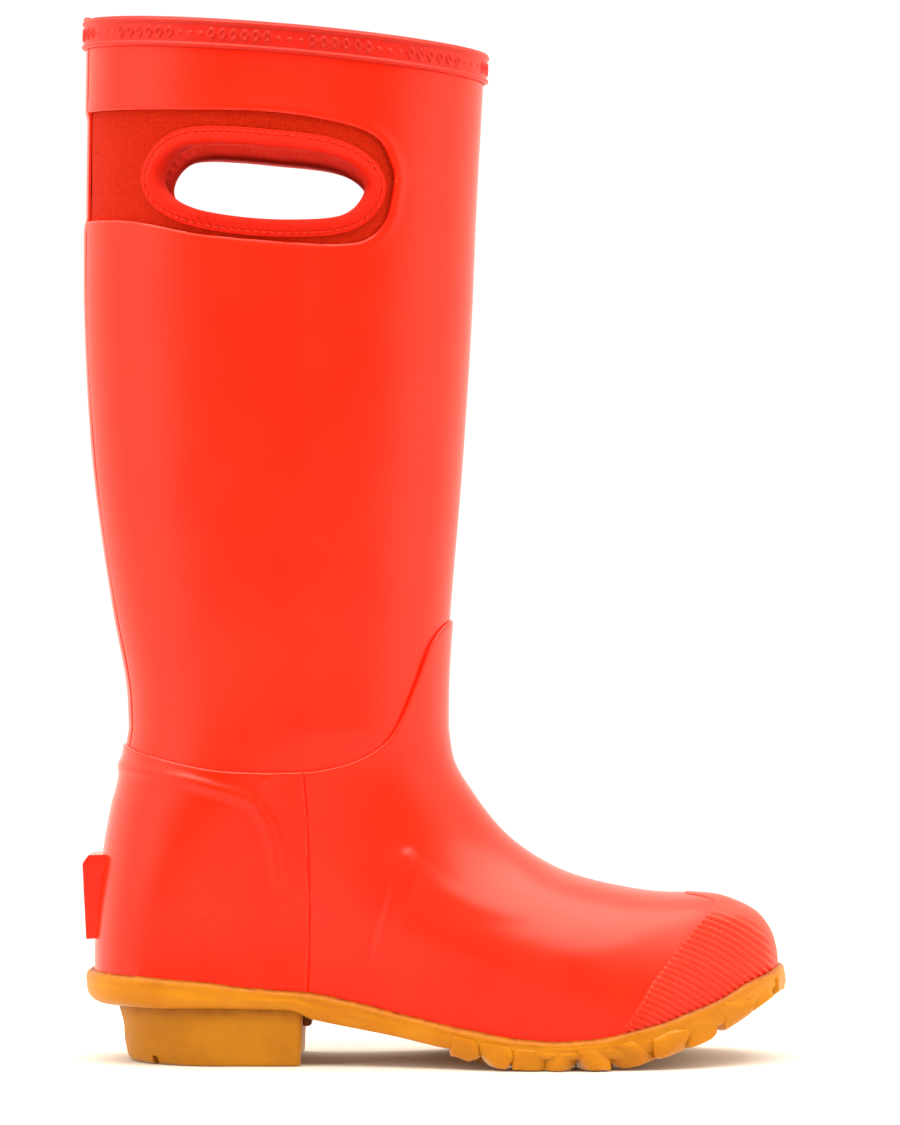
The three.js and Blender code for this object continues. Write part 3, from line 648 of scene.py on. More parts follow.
def capGrids():
    turn = np.linspace(-1, 1, cap["columns"])
    turn = np.sign(turn) * np.abs(turn) ** 0.9

    def isAhead(ring, angle):
        p = skin(ring, angle)
        return p[..., 0] < capX(p[..., 2] + 1.2 + 1.5 * smooth(p[..., 2] / 70))

    reach = float(halve(lambda a: isAhead(0.0, math.pi + a), 0.2, 1.6))
    delta = turn * reach * 0.998
    top = halve(lambda r: isAhead(r, math.pi + delta), np.full(delta.shape, -0.001),
        np.full(delta.shape, 0.42))
    v = shares(cap["rows"], 75, cap["lip"], first=False)
    ring = top[:, None] * v[None, :]
    points, normals = onSkin(ring, math.pi + delta[:, None])
    _, _, _, high = sideDistances(points)
    back = points[..., 0] - capX(points[..., 2] + 2.6)
    lip = lipDrop(np.minimum(high, np.maximum(np.abs(back) * 0.8, high * 0.2)), cap["lip"])
    phase, w = ribPhase(points[..., 0] + normals[..., 0] * 2.7, points[..., 2] + normals[..., 2] * 2.7)
    wave = 0.5 + 0.5 * np.cos(2 * math.pi * phase)
    crest = np.interp(points[..., 0], *frontSilhouette())
    below, beside = crest - points[..., 2], np.abs(points[..., 1])
    show = smooth((below - 1.5) / 9) * smooth((w - 0.8) / 1.6) * smooth((beside - 3) / 9)
    thin = 0.85 * smooth((points[..., 2] - 55) / 7)
    outer = boot["capOut"] - thin - lip * (1 - 0.5 * thin) + show * cap["height"] * (wave**0.8 - 0.75)
    return wall(points, normals, outer, 1.85 - 0.5 * thin)


# The front outline of the foot, x in rising order with its z.
def frontSilhouette():
    x, z = frontFoot(np.linspace(0, 0.5, 200))
    order = np.argsort(x)
    return x[order], z[order]


pieceOf("toeCap", meshOf("toeCap", capGrids()), "boot", ["toe_cap"], capRubber,
    crease=60)
print("toe cap made")

# Shaft.
shaft = {"lip": 0.9, "rows": 120, "seamHalf": 9.3, "dip": 0.9}
hole = {
    "outline": [(-94.6, 363.8), (-79, 363.6), (-63.1, 362.2), (-50, 360.9), (-40.7, 359.2), (-33.2, 356.4),
                (-27.6, 352.2), (-25.2, 347.6), (-26.4, 343.2), (-31, 338.2), (-38, 335.3), (-48.2, 334.2),
                (-63, 334.1), (-78.1, 335.4), (-93, 338.2),
                (-101.6, 341.4), (-107, 345.4), (-109.3, 350.4), (-107.6, 356.2), (-102.4, 361.6)],
    "count": 420,
}
# Edges of the bare neoprene, by x, back to front.
windowFront = -14.9
windowTop = curveThrough([
    (-142, 379.5), (-98, 377.6), (-66, 376.4), (-44.5, 373.6), (-28, 369.6), (-19.6, 364), (-15.3, 354),
    (windowFront, 350)])
windowLow = curveThrough([
    (-142, 336), (-120, 334.2), (-91.5, 328.4), (-56, 325), (-34, 324.6), (-24, 327.8), (-17.4, 336.6),
    (windowFront, 350)])


def closedLine(points, count):
    p = np.array(points, float)
    p = np.vstack([p[-3:], p, p[:3]])
    run = np.concatenate([[0], np.cumsum(np.linalg.norm(np.diff(p, axis=0), axis=1))])
    even = np.linspace(run[3], run[-3], count, endpoint=False)
    smoothLine = np.stack([curveThrough(np.stack([run, p[:, k]], 1))(even) for k in (0, 1)], -1)
    for _ in range(6):  # evens out the bends
        smoothLine = (np.roll(smoothLine, 1, 0) + 2 * smoothLine + np.roll(smoothLine, -1, 0)) / 4
    way = unit(np.roll(smoothLine, -1, 0) - np.roll(smoothLine, 1, 0))
    outwards = np.stack([-way[:, 1], way[:, 0]], -1)
    if ((smoothLine - smoothLine.mean(0)) * outwards).sum() < 0:
        outwards = -outwards
    return smoothLine, outwards, way


# Upper and lower edge of a closed side-view outline, by x, as two tables.
def edgesOf(line):
    top, low = line[np.argmin(line[:, 0])], line[np.argmax(line[:, 0])]
    middle = 349.5 + (line[:, 0] + 67) * -0.02
    upperHalf, lowerHalf = line[line[:, 1] >= middle], line[line[:, 1] < middle]
    ends = np.array([top, low])
    tables = []
    for half in (upperHalf, lowerHalf):
        both = np.vstack([half, ends])
        order = np.argsort(both[:, 0])
        tables.append((both[order, 0], both[order, 1]))
    return tables


# A wall of the shaft from bottomOf(x) to topOf(x) on one side, with an opening between two side-view edges.
# Columns run from the back angle through the opening's ends to the front, rows from each edge to the next.
def shaftWall(side, backAngle, backTip, frontTip, openTop, openLow, bottomOf, topOf, offsets, rows):
    stations = [] if backTip is None else [backTip]
    stations.append(frontTip)
    mid = lambda x: (openTop(np.clip(x, -200, frontTip)) + openLow(np.clip(x, -200, frontTip))) / 2

    def angleOf(f, ring):
        marks = [backAngle(ring)] + [np.abs(angleAtX(x, ring, 1)) for x in stations]
        marks.append(np.full(np.shape(ring), math.pi))
        f = np.broadcast_to(f, np.shape(ring))
        k = np.clip(np.floor(f).astype(int), 0, len(marks) - 2)
        marks = np.stack([np.broadcast_to(m, np.shape(ring)) for m in marks])
        start = np.take_along_axis(marks, k[None], 0)[0]
        end = np.take_along_axis(marks, k[None] + 1, 0)[0]
        return side * mix(start, end, f - k)

    def closing(n):  # shares that crowd towards 1
        return np.sin(np.linspace(0, 1, n) * math.pi / 2)

    def opening(n):  # shares that crowd towards 0
        return 1 - np.cos(np.linspace(0, 1, n) * math.pi / 2)

    if backTip is None:
        backEdge = np.array([0.03, 0.1, 0.25, 0.5]) * 0.015
        even = np.unique(np.concatenate([np.linspace(0, 0.6, 46), backEdge]))
        f = np.concatenate([even, 0.6 + 0.4 * closing(40)[1:], 1 + opening(60)[1:]])
        split = [1.0]
    else:
        inOut = (1 - np.cos(np.linspace(0, 1, 110) * math.pi)) / 2
        f = np.concatenate([closing(34), 1 + inOut[1:], 2 + opening(60)[1:]])
        split = [1.0, 2.0]
    isOpen = (f < split[0]) if backTip is None else ((f > split[0]) & (f < split[1]))
    at = lambda zOf: ringAt(zOf, lambda r: angleOf(f, r), f, 0.3, 2.0)
    bottom, top, middle = at(bottomOf), at(topOf), at(mid)
    low = np.where(isOpen, at(openLow), middle)
    high = np.where(isOpen, at(openTop), middle)
    low, high = np.minimum(low, middle), np.maximum(high, middle)
    grids = []
    for start, end, share in ((bottom, low, 0.78), (high, top, 0.22)):
        v = shares(max(int(rows * share), 12), 190 * share, 0.9)
        ring = mix(start[:, None], end[:, None], v[None, :])
        points, normals = onSkin(ring, angleOf(f[:, None], ring))
        outer, inner = offsets(points)
        topFace = points + normals * outer[..., None]
        lowFace = points + normals * inner[..., None]
        grids += [topFace, lowFace]
        atMiddle = -1 if share > 0.5 else 0
        for k in (0, -1):
            if k == atMiddle:
                strip = np.where(isOpen)[0]
                strip = np.arange(max(strip[0] - 1, 0), min(strip[-1] + 2, len(f)))
                grids.append(np.stack([lowFace[strip, k], topFace[strip, k]]))
            else:
                grids.append(np.stack([lowFace[:, k], topFace[:, k]]))
        if backTip is None:
            grids.append(np.stack([lowFace[0], topFace[0]]))
    return grids


windowLine = np.concatenate([
    np.stack([np.linspace(-142, windowFront, 260), windowTop(np.linspace(-142, windowFront, 260))], -1),
    np.stack([np.linspace(windowFront, -142, 260), windowLow(np.linspace(windowFront, -142, 260))], -1)])


# Smallest distance to a dense side-view outline.
def outlineDistance(x, z, line):
    flat = np.stack([x.reshape(-1), z.reshape(-1)], -1)
    best = np.full(len(flat), 1e9)
    near = (flat[:, 1] > line[:, 1].min() - 8) & (flat[:, 1] < line[:, 1].max() + 8)
    picked = flat[near]
    found = np.full(len(picked), 1e9)
    for chunk in np.array_split(line, 20):
        found = np.minimum(found, np.sqrt(((picked[:, None] - chunk[None]) ** 2).sum(-1)).min(1))
    best[near] = found
    return best.reshape(x.shape)


# The panel's outer face: soft unevenness, a rounded lip round the window and along the backstay.
def shaftOffsets(p):
    away = outlineDistance(p[..., 0], p[..., 2], windowLine)
    strip = np.where(p[..., 0] < -100, np.abs(p[..., 1]) - shaft["seamHalf"], 99)
    outer = 0.16 * unevenness(p, 75, 5) - lipDrop(away, shaft["lip"]) - lipDrop(strip, 0.6)
    outer = outer + 0.25 * smooth(1 - np.abs(away - 2.4) / 2.4)
    return outer, np.full(p.shape[:2], -boot["rubber"])


belowLap = lambda x: overlayEdge(x) - 9.7
underBand = lambda x: rimZ(x) - 1.8
shaftGrids = []
for side in (-1, 1):
    shaftGrids += shaftWall(side, lambda r: angleAtY(shaft["seamHalf"], r), None, windowFront, windowTop,
        windowLow,
                            belowLap, underBand, shaftOffsets, shaft["rows"])
pieceOf("shaftPanel", meshOf("shaftPanel", shaftGrids), "boot", ["shaft_panel"], glossRubber)


# Backstay: the strip between the panel's two rear edges, sunk a little where it crosses the neoprene.
def backstayGrids():
    v = shares(260, 285, 0.9)
    q = 2 * shares(22, 18, 0.9) - 1
    bottom = ringAt(belowLap, lambda r: 0 * r, q, 0.3, 2.0)
    top = ringAt(underBand, lambda r: 0 * r, q, 0.3, 2.0)
    ring = mix(bottom[:, None], top[:, None], v[None, :])
    angle = angleAtY(9.0, ring) * q[:, None]
    points, normals = onSkin(ring, angle)
    left, right, _, _ = sideDistances(points)
    z = points[..., 2]
    sunk = smooth((z - 333) / 5) * smooth((381 - z) / 5)
    outer = 0.15 - shaft["dip"] * sunk - lipDrop(np.minimum(left, right), 0.7)
    outer = outer + 0.12 * smooth(1 - np.abs(left - right) / 3)
    return wall(points, normals, outer, -boot["rubber"] - 0 * outer)


pieceOf("backstay", meshOf("backstay", backstayGrids()), "boot", ["backstay"], glossRubber)

holeLine, holeOut, holeWay = closedLine(hole["outline"], hole["count"])


# One inner layer of the shaft, open inside the hand hole's outline grown outwards.
def innerShaft(name, node, material, outer, inner, bumps):
    grown = holeLine + holeOut * 2.2
    (topX, topZ), (lowX, lowZ) = edgesOf(grown)
    openTop, openLow = (lambda x: np.interp(x, topX, topZ)), (lambda x: np.interp(x, lowX, lowZ))
    offsets = lambda p: (outer + bumps(p), np.full(p.shape[:2], inner))
    grids = []
    for side in (-1, 1):
        grids += shaftWall(side, lambda r: 0 * r, grown[:, 0].min(), grown[:, 0].max(), openTop, openLow,
                           lambda x: 118 + 0 * x, underBand, offsets, 90)
    return pieceOf(name, meshOf(name, grids), "boot", [node], material)


innerShaft("neopreneShaft", "neoprene_shaft", neopreneRed, boot["neopreneOut"], -6.2,
           lambda p: 0.12 * unevenness(p, 26, 8))
innerShaft("liningShaft", "lining_shaft", greyLining, boot["liningOut"], boot["liningIn"],
           lambda p: 0 * p[..., 0])
print("shaft made")

# Top band.
band = {"height": 12, "columns": 900, "bead": 0.75, "pitch": 4.4, "group": 9, "groupShown": 6, "relief": 0.6}


# The band's section, walked from its lower outer edge over the rim and back: (below the rim, offset).
def bandGrids():
    face = np.linspace(11.6, 0.9, 44)
    bead = lambda d, at: np.maximum(1 - ((d - at) / 0.85) ** 2, 0) ** 0.5
    faceOut = 1.25 + band["bead"] * (bead(face, 10.9) + bead(face, 1.7))
    section = ([(12, 0.35), (12, 0.9), (11.85, 1.15)] + list(zip(face, faceOut))
               + [(0.5, 1.55), (0.18, 1.15), (0.02, 0.4), (0, -0.8), (0, -3), (0, -5.4), (0.12, -6.6),
                  (0.5, -7.1), (0.9, -7.3), (1.5, -7.3), (1.5, -4), (1.5, 0.35)])
    drop, out = np.array(section).T
    angle = np.linspace(0, 2 * math.pi, band["columns"], endpoint=False)
    a, d = np.broadcast_arrays(angle[:, None], drop[None, :])

    def isAbove(ring):
        p = skin(ring, a)
        return p[..., 2] > rimZ(p[..., 0]) - d

    ring = halve(isAbove, np.full(a.shape, 1.6), np.full(a.shape, 2.0))
    points, normals = onSkin(ring, a)
    length = np.concatenate([[0], np.cumsum(np.linalg.norm(np.diff(points[:, 20], axis=0), axis=1))])
    length += 9
    number = np.floor(length / band["pitch"])
    local = length / band["pitch"] - number - 0.5
    shown = (number % band["group"]) < band["groupShown"]
    height = (d[0] - 6.3) / 2.9
    rhomb = np.abs(local)[:, None] / 0.42 + np.abs(height)[None, :]
    ridge = smooth(1 - np.abs(rhomb - 0.72) / 0.3) * shown[:, None] * (np.abs(height)[None, :] < 1.15)
    between = smooth(1 - np.hypot(local[:, None] * 1.6, height[None, :]) / 0.35) * (~shown)[:, None]
    onFace = ((d > 1) & (d < 11.6) & (out[None, :] > 1.2))
    fromBack = np.minimum(a, 2 * math.pi - a)
    nub = np.exp(-((fromBack / 0.035) ** 2)) * np.exp(-((d / 0.6) ** 2)) * (out[None, :] > -2.6)
    points = points + nub[..., None] * np.array([0, 0, 1.6])
    outer = out[None, :] + band["relief"] * (ridge + between) * onFace + 0.06 * unevenness(points, 14, 4)
    return [((points + normals * outer[..., None]), True, True)]


pieceOf("topBand", meshOf("topBand", bandGrids()), "boot", ["top_band"], bandRubber, crease=70)

# Kick tab.
tab = {"low": 48.5, "top": 82.3, "back": -140.8, "narrow": 8, "wide": 11, "corner": 0.6}


# A wedge standing on the heel: each grid point goes straight back from the quarter to the tab's flat rear
# face.
def tabGrids():
    u = 2 * shares(40, 20, 1.2) - 1
    v = shares(56, 34, 1.2)
    z = mix(tab["low"], tab["top"], v)[None, :]
    y = u[:, None] * mix(tab["narrow"], tab["wide"], v)[None, :]
    y, z = np.broadcast_arrays(y, z)
    ring = halve(lambda r: skin(r, 0 * r)[..., 2] > z, np.zeros(z.shape), np.ones(z.shape))
    angle = angleAtY(np.abs(y), ring) * np.sign(y)
    base, normals = onSkin(ring, angle)
    base = base + normals * 1.85
    rear = tab["back"] + 1.4 * (tab["top"] - z) / 34 + 2.5 * np.maximum((z - tab["top"] + 3.4) / 3.4, 0)
    edge = np.minimum(np.minimum(1 - np.abs(u)[:, None], 9) * 9.5, np.minimum(z - tab["low"], tab["top"] - z))
    rear = rear + lipDrop(edge, tab["corner"]) + 0 * y
    face = np.stack([np.minimum(rear, base[..., 0] - 0.3), y, z], -1)
    sides = [np.stack([base[:, k], face[:, k]]) for k in (0, -1)]
    return [face, base] + sides + [np.stack([base[k], face[k]]) for k in (0, -1)]


pieceOf("kickTab", meshOf("kickTab", tabGrids()), "boot", ["kick_tab"], quarterRubber,
    crease=35)
print("band and tab made")

# Hand hole bindings and their stitches.
binding = {"stitchAt": 5.2, "count": 420, "puff": 0.35, "pucker": 0.16}
# Section: (distance from the hole's edge, offset from the shaft's face), walked once round.
bindingSection = [
    (7.2, -1.7), (7.25, -1.2), (6.95, -0.55), (6.3, -0.15), (5.6, -0.2), (5.2, -0.32), (4.8, -0.1),
    (4.2, 0.7),
    (3.5, 1.35), (2.6, 1.85), (1.7, 2.0), (0.9, 1.7), (0.3, 1.0), (0.02, 0), (0, -1.5), (0, -3.5), (0, -5.5),
    (0, -7.2), (0.25, -8.4), (0.9, -9.2), (2, -9.6), (3.4, -9.5), (4.6, -9.1), (5.2, -8.7), (5.8, -8.8),
    (6.6, -8.6), (7.1, -8.1), (7.2, -7.7), (5, -7.6), (2.6, -7.6), (2.1, -7.2), (2.05, -5), (2.05, -3),
    (2.3, -1.85), (3, -1.7), (5, -1.7)]


def bindingShape(side):
    closedSection = np.array(bindingSection + bindingSection[:1])
    run = np.concatenate([[0], np.cumsum(np.linalg.norm(np.diff(closedSection, axis=0), axis=1))])
    even = np.linspace(0, run[-1], 64, endpoint=False)
    reach = np.interp(even, run, closedSection[:, 0])
    out = np.interp(even, run, closedSection[:, 1])
    for _ in range(2):
        reach = (np.roll(reach, 1) + 2 * reach + np.roll(reach, -1)) / 4
        out = (np.roll(out, 1) + 2 * out + np.roll(out, -1)) / 4
    flat = holeLine[:, None, :] + holeOut[:, None, :] * reach[None, :, None]
    points, normals = onSide(flat[..., 0], flat[..., 1], side)
    length = np.linspace(0, 205, binding["count"], endpoint=False)[:, None]
    free = np.exp(-((reach - 2.6) / 2.2) ** 2)[None, :] * ((out > -1) | (out < -8))[None, :]
    atStitch = np.exp(-((reach - binding["stitchAt"]) / 1.3) ** 2)[None, :]
    pull = np.cos(2 * math.pi * length / 3.2) * atStitch * binding["pucker"]
    join = np.exp(-(((length - 154) / 7) ** 2))  # overlapped join at the rear end, with deeper folds
    folds = binding["puff"] * unevenness(points, 16, 12) * free * (0.5 + join)
    deep = 0.55 * join * np.sin(length * 1.9 + reach[None, :] * 0.8) * free
    sign = np.where(out > -4, 1, -1)[None, :]
    outer = out[None, :] + sign * (pull + folds + deep)
    return points + normals * outer[..., None], reach, length, run[-1]


# One binding as a closed piece of the boot.
def bindingPiece(name, side, node):
    shape, reach, length, girth = bindingShape(side)
    mesh = meshOf(name, [(shape, True, True)])
    piece = pieceOf(name, mesh, "boot", [node], knitRed, crease=180)
    # own map: millimetres along the hole and round the section, from the nearest grid point
    uv = mesh.uv_layers.new(name="knit")
    corners = np.zeros(len(mesh.loops), np.int32)
    mesh.loops.foreach_get("vertex_index", corners)
    _, first = np.unique(np.round(shape.reshape(-1, 3) * 2e3), axis=0, return_index=True)
    rowNumber, columnNumber = np.divmod(first, shape.shape[1])
    u = rowNumber / shape.shape[0] * 20.5
    v = columnNumber / shape.shape[1] * girth / 10
    pair = np.stack([u[corners], v[corners]], -1)
    for k, whole in ((0, 20.5), (1, girth / 10)):
        per = pair[:, k].reshape(-1, 4)
        per[(per.max(1, keepdims=True) - per) > whole / 2] += whole
        pair[:, k] = per.reshape(-1)
    uv.data.foreach_set("uv", pair.reshape(-1).astype(np.float32))
    return piece


bindingPiece("handleBindingOuter", -1, "handle_binding_outer")
bindingPiece("handleBindingInner", 1, "handle_binding_inner")

stitch = {"at": 5.3, "pitch": 3.2, "length": 2.5, "thick": 0.33}


# Each stitch is a small capsule that dips into the tape at both ends: rings round a short arc.
def stitchGrids(side):
    path = holeLine + holeOut * stitch["at"]
    total = np.concatenate([[0], np.cumsum(np.linalg.norm(np.diff(path, axis=0), axis=1))])
    many = int(total[-1] / stitch["pitch"])
    t = np.linspace(-1, 1, 7)
    turn = np.linspace(0, 2 * math.pi, 6, endpoint=False)
    middle = (np.arange(many)[:, None] + 0.5) * stitch["pitch"] + t[None, :] * stitch["length"] / 2
    x, z = np.interp(middle, total, path[:, 0]), np.interp(middle, total, path[:, 1])
    points, normals = onSide(x, z, side)
    way = unit(np.gradient(points, axis=1))
    across = np.cross(normals, way)
    radius = stitch["thick"] * np.sqrt(np.maximum(1 - t**2 * 0.98, 0.02))
    height = 0.15 - 0.45 * t**2 + 0.12
    centre = points + normals * height[None, :, None]
    grids = []
    for k in range(many):
        loop = centre[k][:, None] + radius[:, None, None] * (
            np.cos(turn)[None, :, None] * across[k][:, None] + np.sin(turn)[None, :, None] * normals[k][:,
            None])
        tips = [np.repeat(centre[k][i][None, None], len(turn), 1) for i in (0, -1)]
        grids.append((np.vstack([tips[0], loop, tips[1]]), False, True))
    return grids


stitchSides = (("bindingStitchOuter", "binding_stitch_outer", -1),
    ("bindingStitchInner", "binding_stitch_inner", 1))
for name, node, side in stitchSides:
    pieceOf(name, meshOf(name, stitchGrids(side)), "boot", [node], redThread, crease=180)
print("bindings made")

# Sole.
sole = {"cup": 3.1, "columns": 520, "lugDepth": 4.5, "heelBack": -127, "breast": -51.7, "radius": 31.5}
lugCurve = curveThrough([
    (along(0.06), 5), (along(0.14), 1.5), (along(0.25), 0), (along(0.52), 0), (along(0.61), 3),
    (along(0.69), 6.5),
    (along(0.77), 10.5), (along(0.84), 15.5), (along(0.91), 21.5), (along(0.98), 28)])
lugLine = lambda x: np.maximum(lugCurve(x), 0.02)
waistLine = curveThrough([
    (along(-1), 23), (along(-0.4), 22), (along(-0.34), 18.6), (along(-0.1), 12.2), (along(0.02), 8.6),
    (along(0.1), 6.8)])
soleUnder = lambda x: np.where(x < along(0.1), waistLine(x), lugLine(x) + sole["lugDepth"])


# The rim and the underside as one closed surface: up the side, over the top edge, down inside, and across
# below
# to the middle line, each underside ring a copy of the edge drawn in towards that line.
def rimGrids():
    angle = np.linspace(0, 2 * math.pi, sole["columns"], endpoint=False)
    edge = skin(0.0, angle)
    normal = skinNormal(0.02, angle)
    normal[:, 2] = 0
    normal = unit(normal)
    x = edge[:, 0]
    under = soleUnder(x)
    cupped = sole["cup"] + 0.25 * unevenness(edge, 22, 6)
    inCap = smooth((x - 70) / 6)
    lean = 1.8 + 1.0 * inCap
    rows, tones = [], []

    def add(out, z, tone):
        aside = normal * np.broadcast_to(out, x.shape)[:, None]
        rows.append(edge * [1, 1, 0] + aside + np.stack([0 * x, 0 * x, z], -1))
        tones.append(np.broadcast_to(tone, x.shape))

    topZ = featherZ(x) + cupped
    tall = topZ - under
    heel = smooth((-50 - x) / 10)
    add(lean - 1.5, featherZ(x) - 2, 0.9)
    add(lean - 0.6, topZ - 0.3, 1.0)
    add(lean + 0.3, topZ, 1.0)
    add(mix(lean, 5, 0.45), topZ - 0.35, 0.75)
    add(mix(lean, 5, 0.8), topZ - 1.1, 0.35)
    for t in np.linspace(0.1, 0.86, 12):
        bulge = 0.25 * math.sin(math.pi * t) + 0.12 * unevenness(edge + [0, 0, 60 * t], 30, 9)
        fall = tall - 1.2 - 0.8 * (1.6 + 1.0 * heel + 4.6 * smooth((-105 - x) / 22))
        add(4.75 + bulge, topZ - 1.2 - fall * t, 0.3 * (1 - t) ** 2)
    back = smooth((-105 - x) / 22)
    # The tone rises to 0.25 round the bottom edge and stays 0.25 under the sole: painted shade.
    for share in (0.18, 0.38, 0.58, 0.78, 0.93, 1.0):  # quarter round at the bottom, larger behind the heel
        turn = share * math.pi / 2
        size = 1.6 + 1.0 * heel + 4.6 * back
        add(4.6 - size * (1 - math.cos(turn)), under + size * 0.8 * (1 - math.sin(turn)), 0.25 * share)
    spineX = np.clip(x, heelX + 30, toeX - 42)
    bottomEdge = rows[-1]
    for t in np.linspace(0, 1, 12)[1:]:
        px = mix(bottomEdge[:, 0], spineX, t)
        py = mix(bottomEdge[:, 1], soleSwing(spineX), t)
        rows.append(np.stack([px, py, soleUnder(px)], -1))
        tones.append(np.full(x.shape, 0.25))
    # closed on the inside by a plate under the insole board
    inside = []
    for t in np.linspace(0, 1, 6):
        px = mix(rows[0][:, 0], spineX, t)
        py = mix(rows[0][:, 1], soleSwing(spineX), t)
        inside.append(np.stack([px, py, np.minimum(featherZ(px) - 3.3, featherZ(px) - 2)], -1))
    inside[0] = rows[0]
    outer = np.stack(rows)
    toneAll = np.concatenate([np.stack(tones).reshape(-1), np.full(6 * len(x), 0.5)])
    return [(outer, False, True), (np.stack(inside), False, True)], toneAll


grids, tones = rimGrids()
pieceOf("soleRim", meshOf("soleRim", grids, tones), "boot", ["outsole"], gumRim, crease=50)


# Heel block: a D in plan, drawn in at the back halfway down, with a groove across its tread.
def heelGrids():
    r, cx, front = sole["radius"], sole["heelBack"] + sole["radius"], sole["breast"]
    corner = 2.2
    arc = np.linspace(math.pi / 2, 3 * math.pi / 2, 121)
    grooveEdges = along(-0.8) + np.array([-1.5, -1.44, -1.35, -1.28, -1.2, 1.2, 1.28, 1.35, 1.44, 1.5])
    dense = np.arcsin(np.clip((grooveEdges - cx) / r, -1, 1))
    arc = np.unique(np.concatenate([arc, 3 * math.pi / 2 + dense, math.pi / 2 - dense]))
    back = np.stack([cx + r * np.cos(arc), r * np.sin(arc)], -1)
    low = np.stack([np.linspace(cx, front - corner, 60)[1:], np.full(59, -r)], -1)
    turn = np.linspace(-math.pi / 2, 0, 9)[1:]
    c1 = np.stack([front - corner + corner * np.cos(turn), -r + corner + corner * np.sin(turn)], -1)
    y = np.linspace(-r + corner, r - corner, 50)[1:]
    breast = np.stack([front - 1.2 * (1 - (y / r) ** 2), y], -1)
    c2 = c1[::-1] * [1, -1]
    high = low[::-1] * [1, -1]
    plan = np.vstack([back, low, c1, breast, c2[1:], high[:-1]])
    middle = np.stack([np.clip(plan[:, 0], cx, front - 12), 0 * plan[:, 1]], -1)
    inward = unit(middle - plan)
    rear = smooth((cx + 8 - plan[:, 0]) / 26)
    groove = smooth((1.45 - np.abs(plan[:, 0] - along(-0.8))) / 0.2) * 3.3
    curve = curveThrough([(0, 5.6), (1.2, 4.4), (7.7, 2.9), (14.3, 2.5), (19, 1.2), (23, 0)])
    rows = []
    for z in (23.0, 21, 19, 16.5, 14, 11.5, 9, 6.5, 4.2, 2.6, 1.4, 0.7, 0.25, 0.0):
        level = np.maximum(z, groove * (z < 3.4))
        rounding = 0.55 * max(0, 1 - z / 0.7) ** 2
        here = np.column_stack([plan, np.full(len(plan), z)])
        draw = curve(z) * rear + rounding + 0.1 * unevenness(here, 18, 2)
        slope = np.where(plan[:, 0] > front - 4, (23 - z) * -0.05, 0)
        rows.append(np.column_stack([plan + inward * draw[:, None] + np.stack([slope, 0 * slope], -1),
            level]))
    bottomEdge = rows[-1]
    for t in np.linspace(0, 1, 14)[1:]:
        flat = mix(bottomEdge[:, :2], middle, t)
        cut = smooth((1.45 - np.abs(flat[:, 0] - along(-0.8))) / 0.2) * 3.3
        rows.append(np.column_stack([flat, cut]))
    top = rows[0]
    lid = [top] + [np.column_stack([mix(top[:, :2], middle, t), top[:, 2]]) for t in (0.5, 1.0)]
    # The heel's side is darker at its top rows (tone 0.55, 0.35, 0.15) than below: painted shade under the
    # rim's overhang.
    sideTone = np.repeat([0.55, 0.35, 0.15] + [0.05] * (len(rows) - 3), len(plan))
    tone = np.concatenate([sideTone, np.full(len(lid) * len(plan), 0.5)])
    return [(np.stack(rows), False, True), (np.stack(lid), False, True)], tone


grids, tones = heelGrids()
pieceOf("heelBlock", meshOf("heelBlock", grids, tones), "boot", ["outsole"], shadedGumHeel, crease=40)


# Small step at the top of the heel's front face, under the waist.
def stepGrids():
    y = np.linspace(-14, 14, 24)
    section = np.array([(-52.6, 19.6), (-52.4, 14.2), (-50.2, 13.9), (-48.9, 14.6), (-48.6, 19.9)])
    middle = section.mean(0)
    rows = [np.column_stack([np.full(5, middle[0]), np.full(5, -14.0), np.full(5, middle[1])])]
    for one in y:
        shrink = 1 - 0.08 * (abs(one) / 14) ** 8
        p = middle + (section - middle) * shrink
        rows.append(np.column_stack([p[:, 0], np.full(5, one), p[:, 1]]))
    rows.append(np.column_stack([np.full(5, middle[0]), np.full(5, 14.0), np.full(5, middle[1])]))
    return [(np.stack(rows), False, True)]


# The step gets tone 0.9, nearly the full dark colour: painted shade under the waist.
stepMesh = meshOf("heelStep", stepGrids(), np.full(26 * 5, 0.9))
pieceOf("heelStep", stepMesh, "boot", ["outsole"], shadedGumHeel, crease=30)


# Lugs: rough stones. A stone's radius in each direction is a soft minimum over flat faces around it,
# so that it is a many-sided block with slightly worn edges; its tread is cut off on the tread line.
lug = {"rows": 7, "columns": 3, "around": 30, "upwards": 18, "sharpness": 16, "edgePitch": 13.4, "tilts": 8}


def stoneGrid(middle, reach, way, spin):
    turn = np.linspace(0, 2 * math.pi, lug["around"], endpoint=False)
    rise = np.linspace(-math.pi / 2, math.pi / 2, lug["upwards"])
    level, up = np.cos(rise)[:, None], np.sin(rise)[:, None]
    d = np.stack([level * np.cos(turn), level * np.sin(turn), up + 0 * turn], -1)
    faces = np.vstack([np.eye(3), -np.eye(3), unit(spin.normal(size=(lug["tilts"], 3)) * [1, 1, 0.8])])
    far = np.concatenate([np.ones(6), spin.uniform(0.82, 1.08, lug["tilts"])])
    closeness = np.maximum(d @ faces.T, 0) / far
    radius = (closeness ** lug["sharpness"]).sum(-1) ** (-1 / lug["sharpness"])
    local = d * radius[..., None] * reach
    side = np.array([-way[1], way[0]])
    p = np.empty_like(local)
    p[..., :2] = middle[:2] + local[..., :1] * way + local[..., 1:2] * side
    p[..., 2] = middle[2] + local[..., 2]
    p[..., 2] = np.maximum(p[..., 2], lugLine(p[..., 0]) + spin.uniform(0, 0.5))
    p[..., 2] = np.minimum(p[..., 2], featherZ(p[..., 0]) - 0.8 + 0.25 * p[..., 2] / 10)
    return (p, False, True)


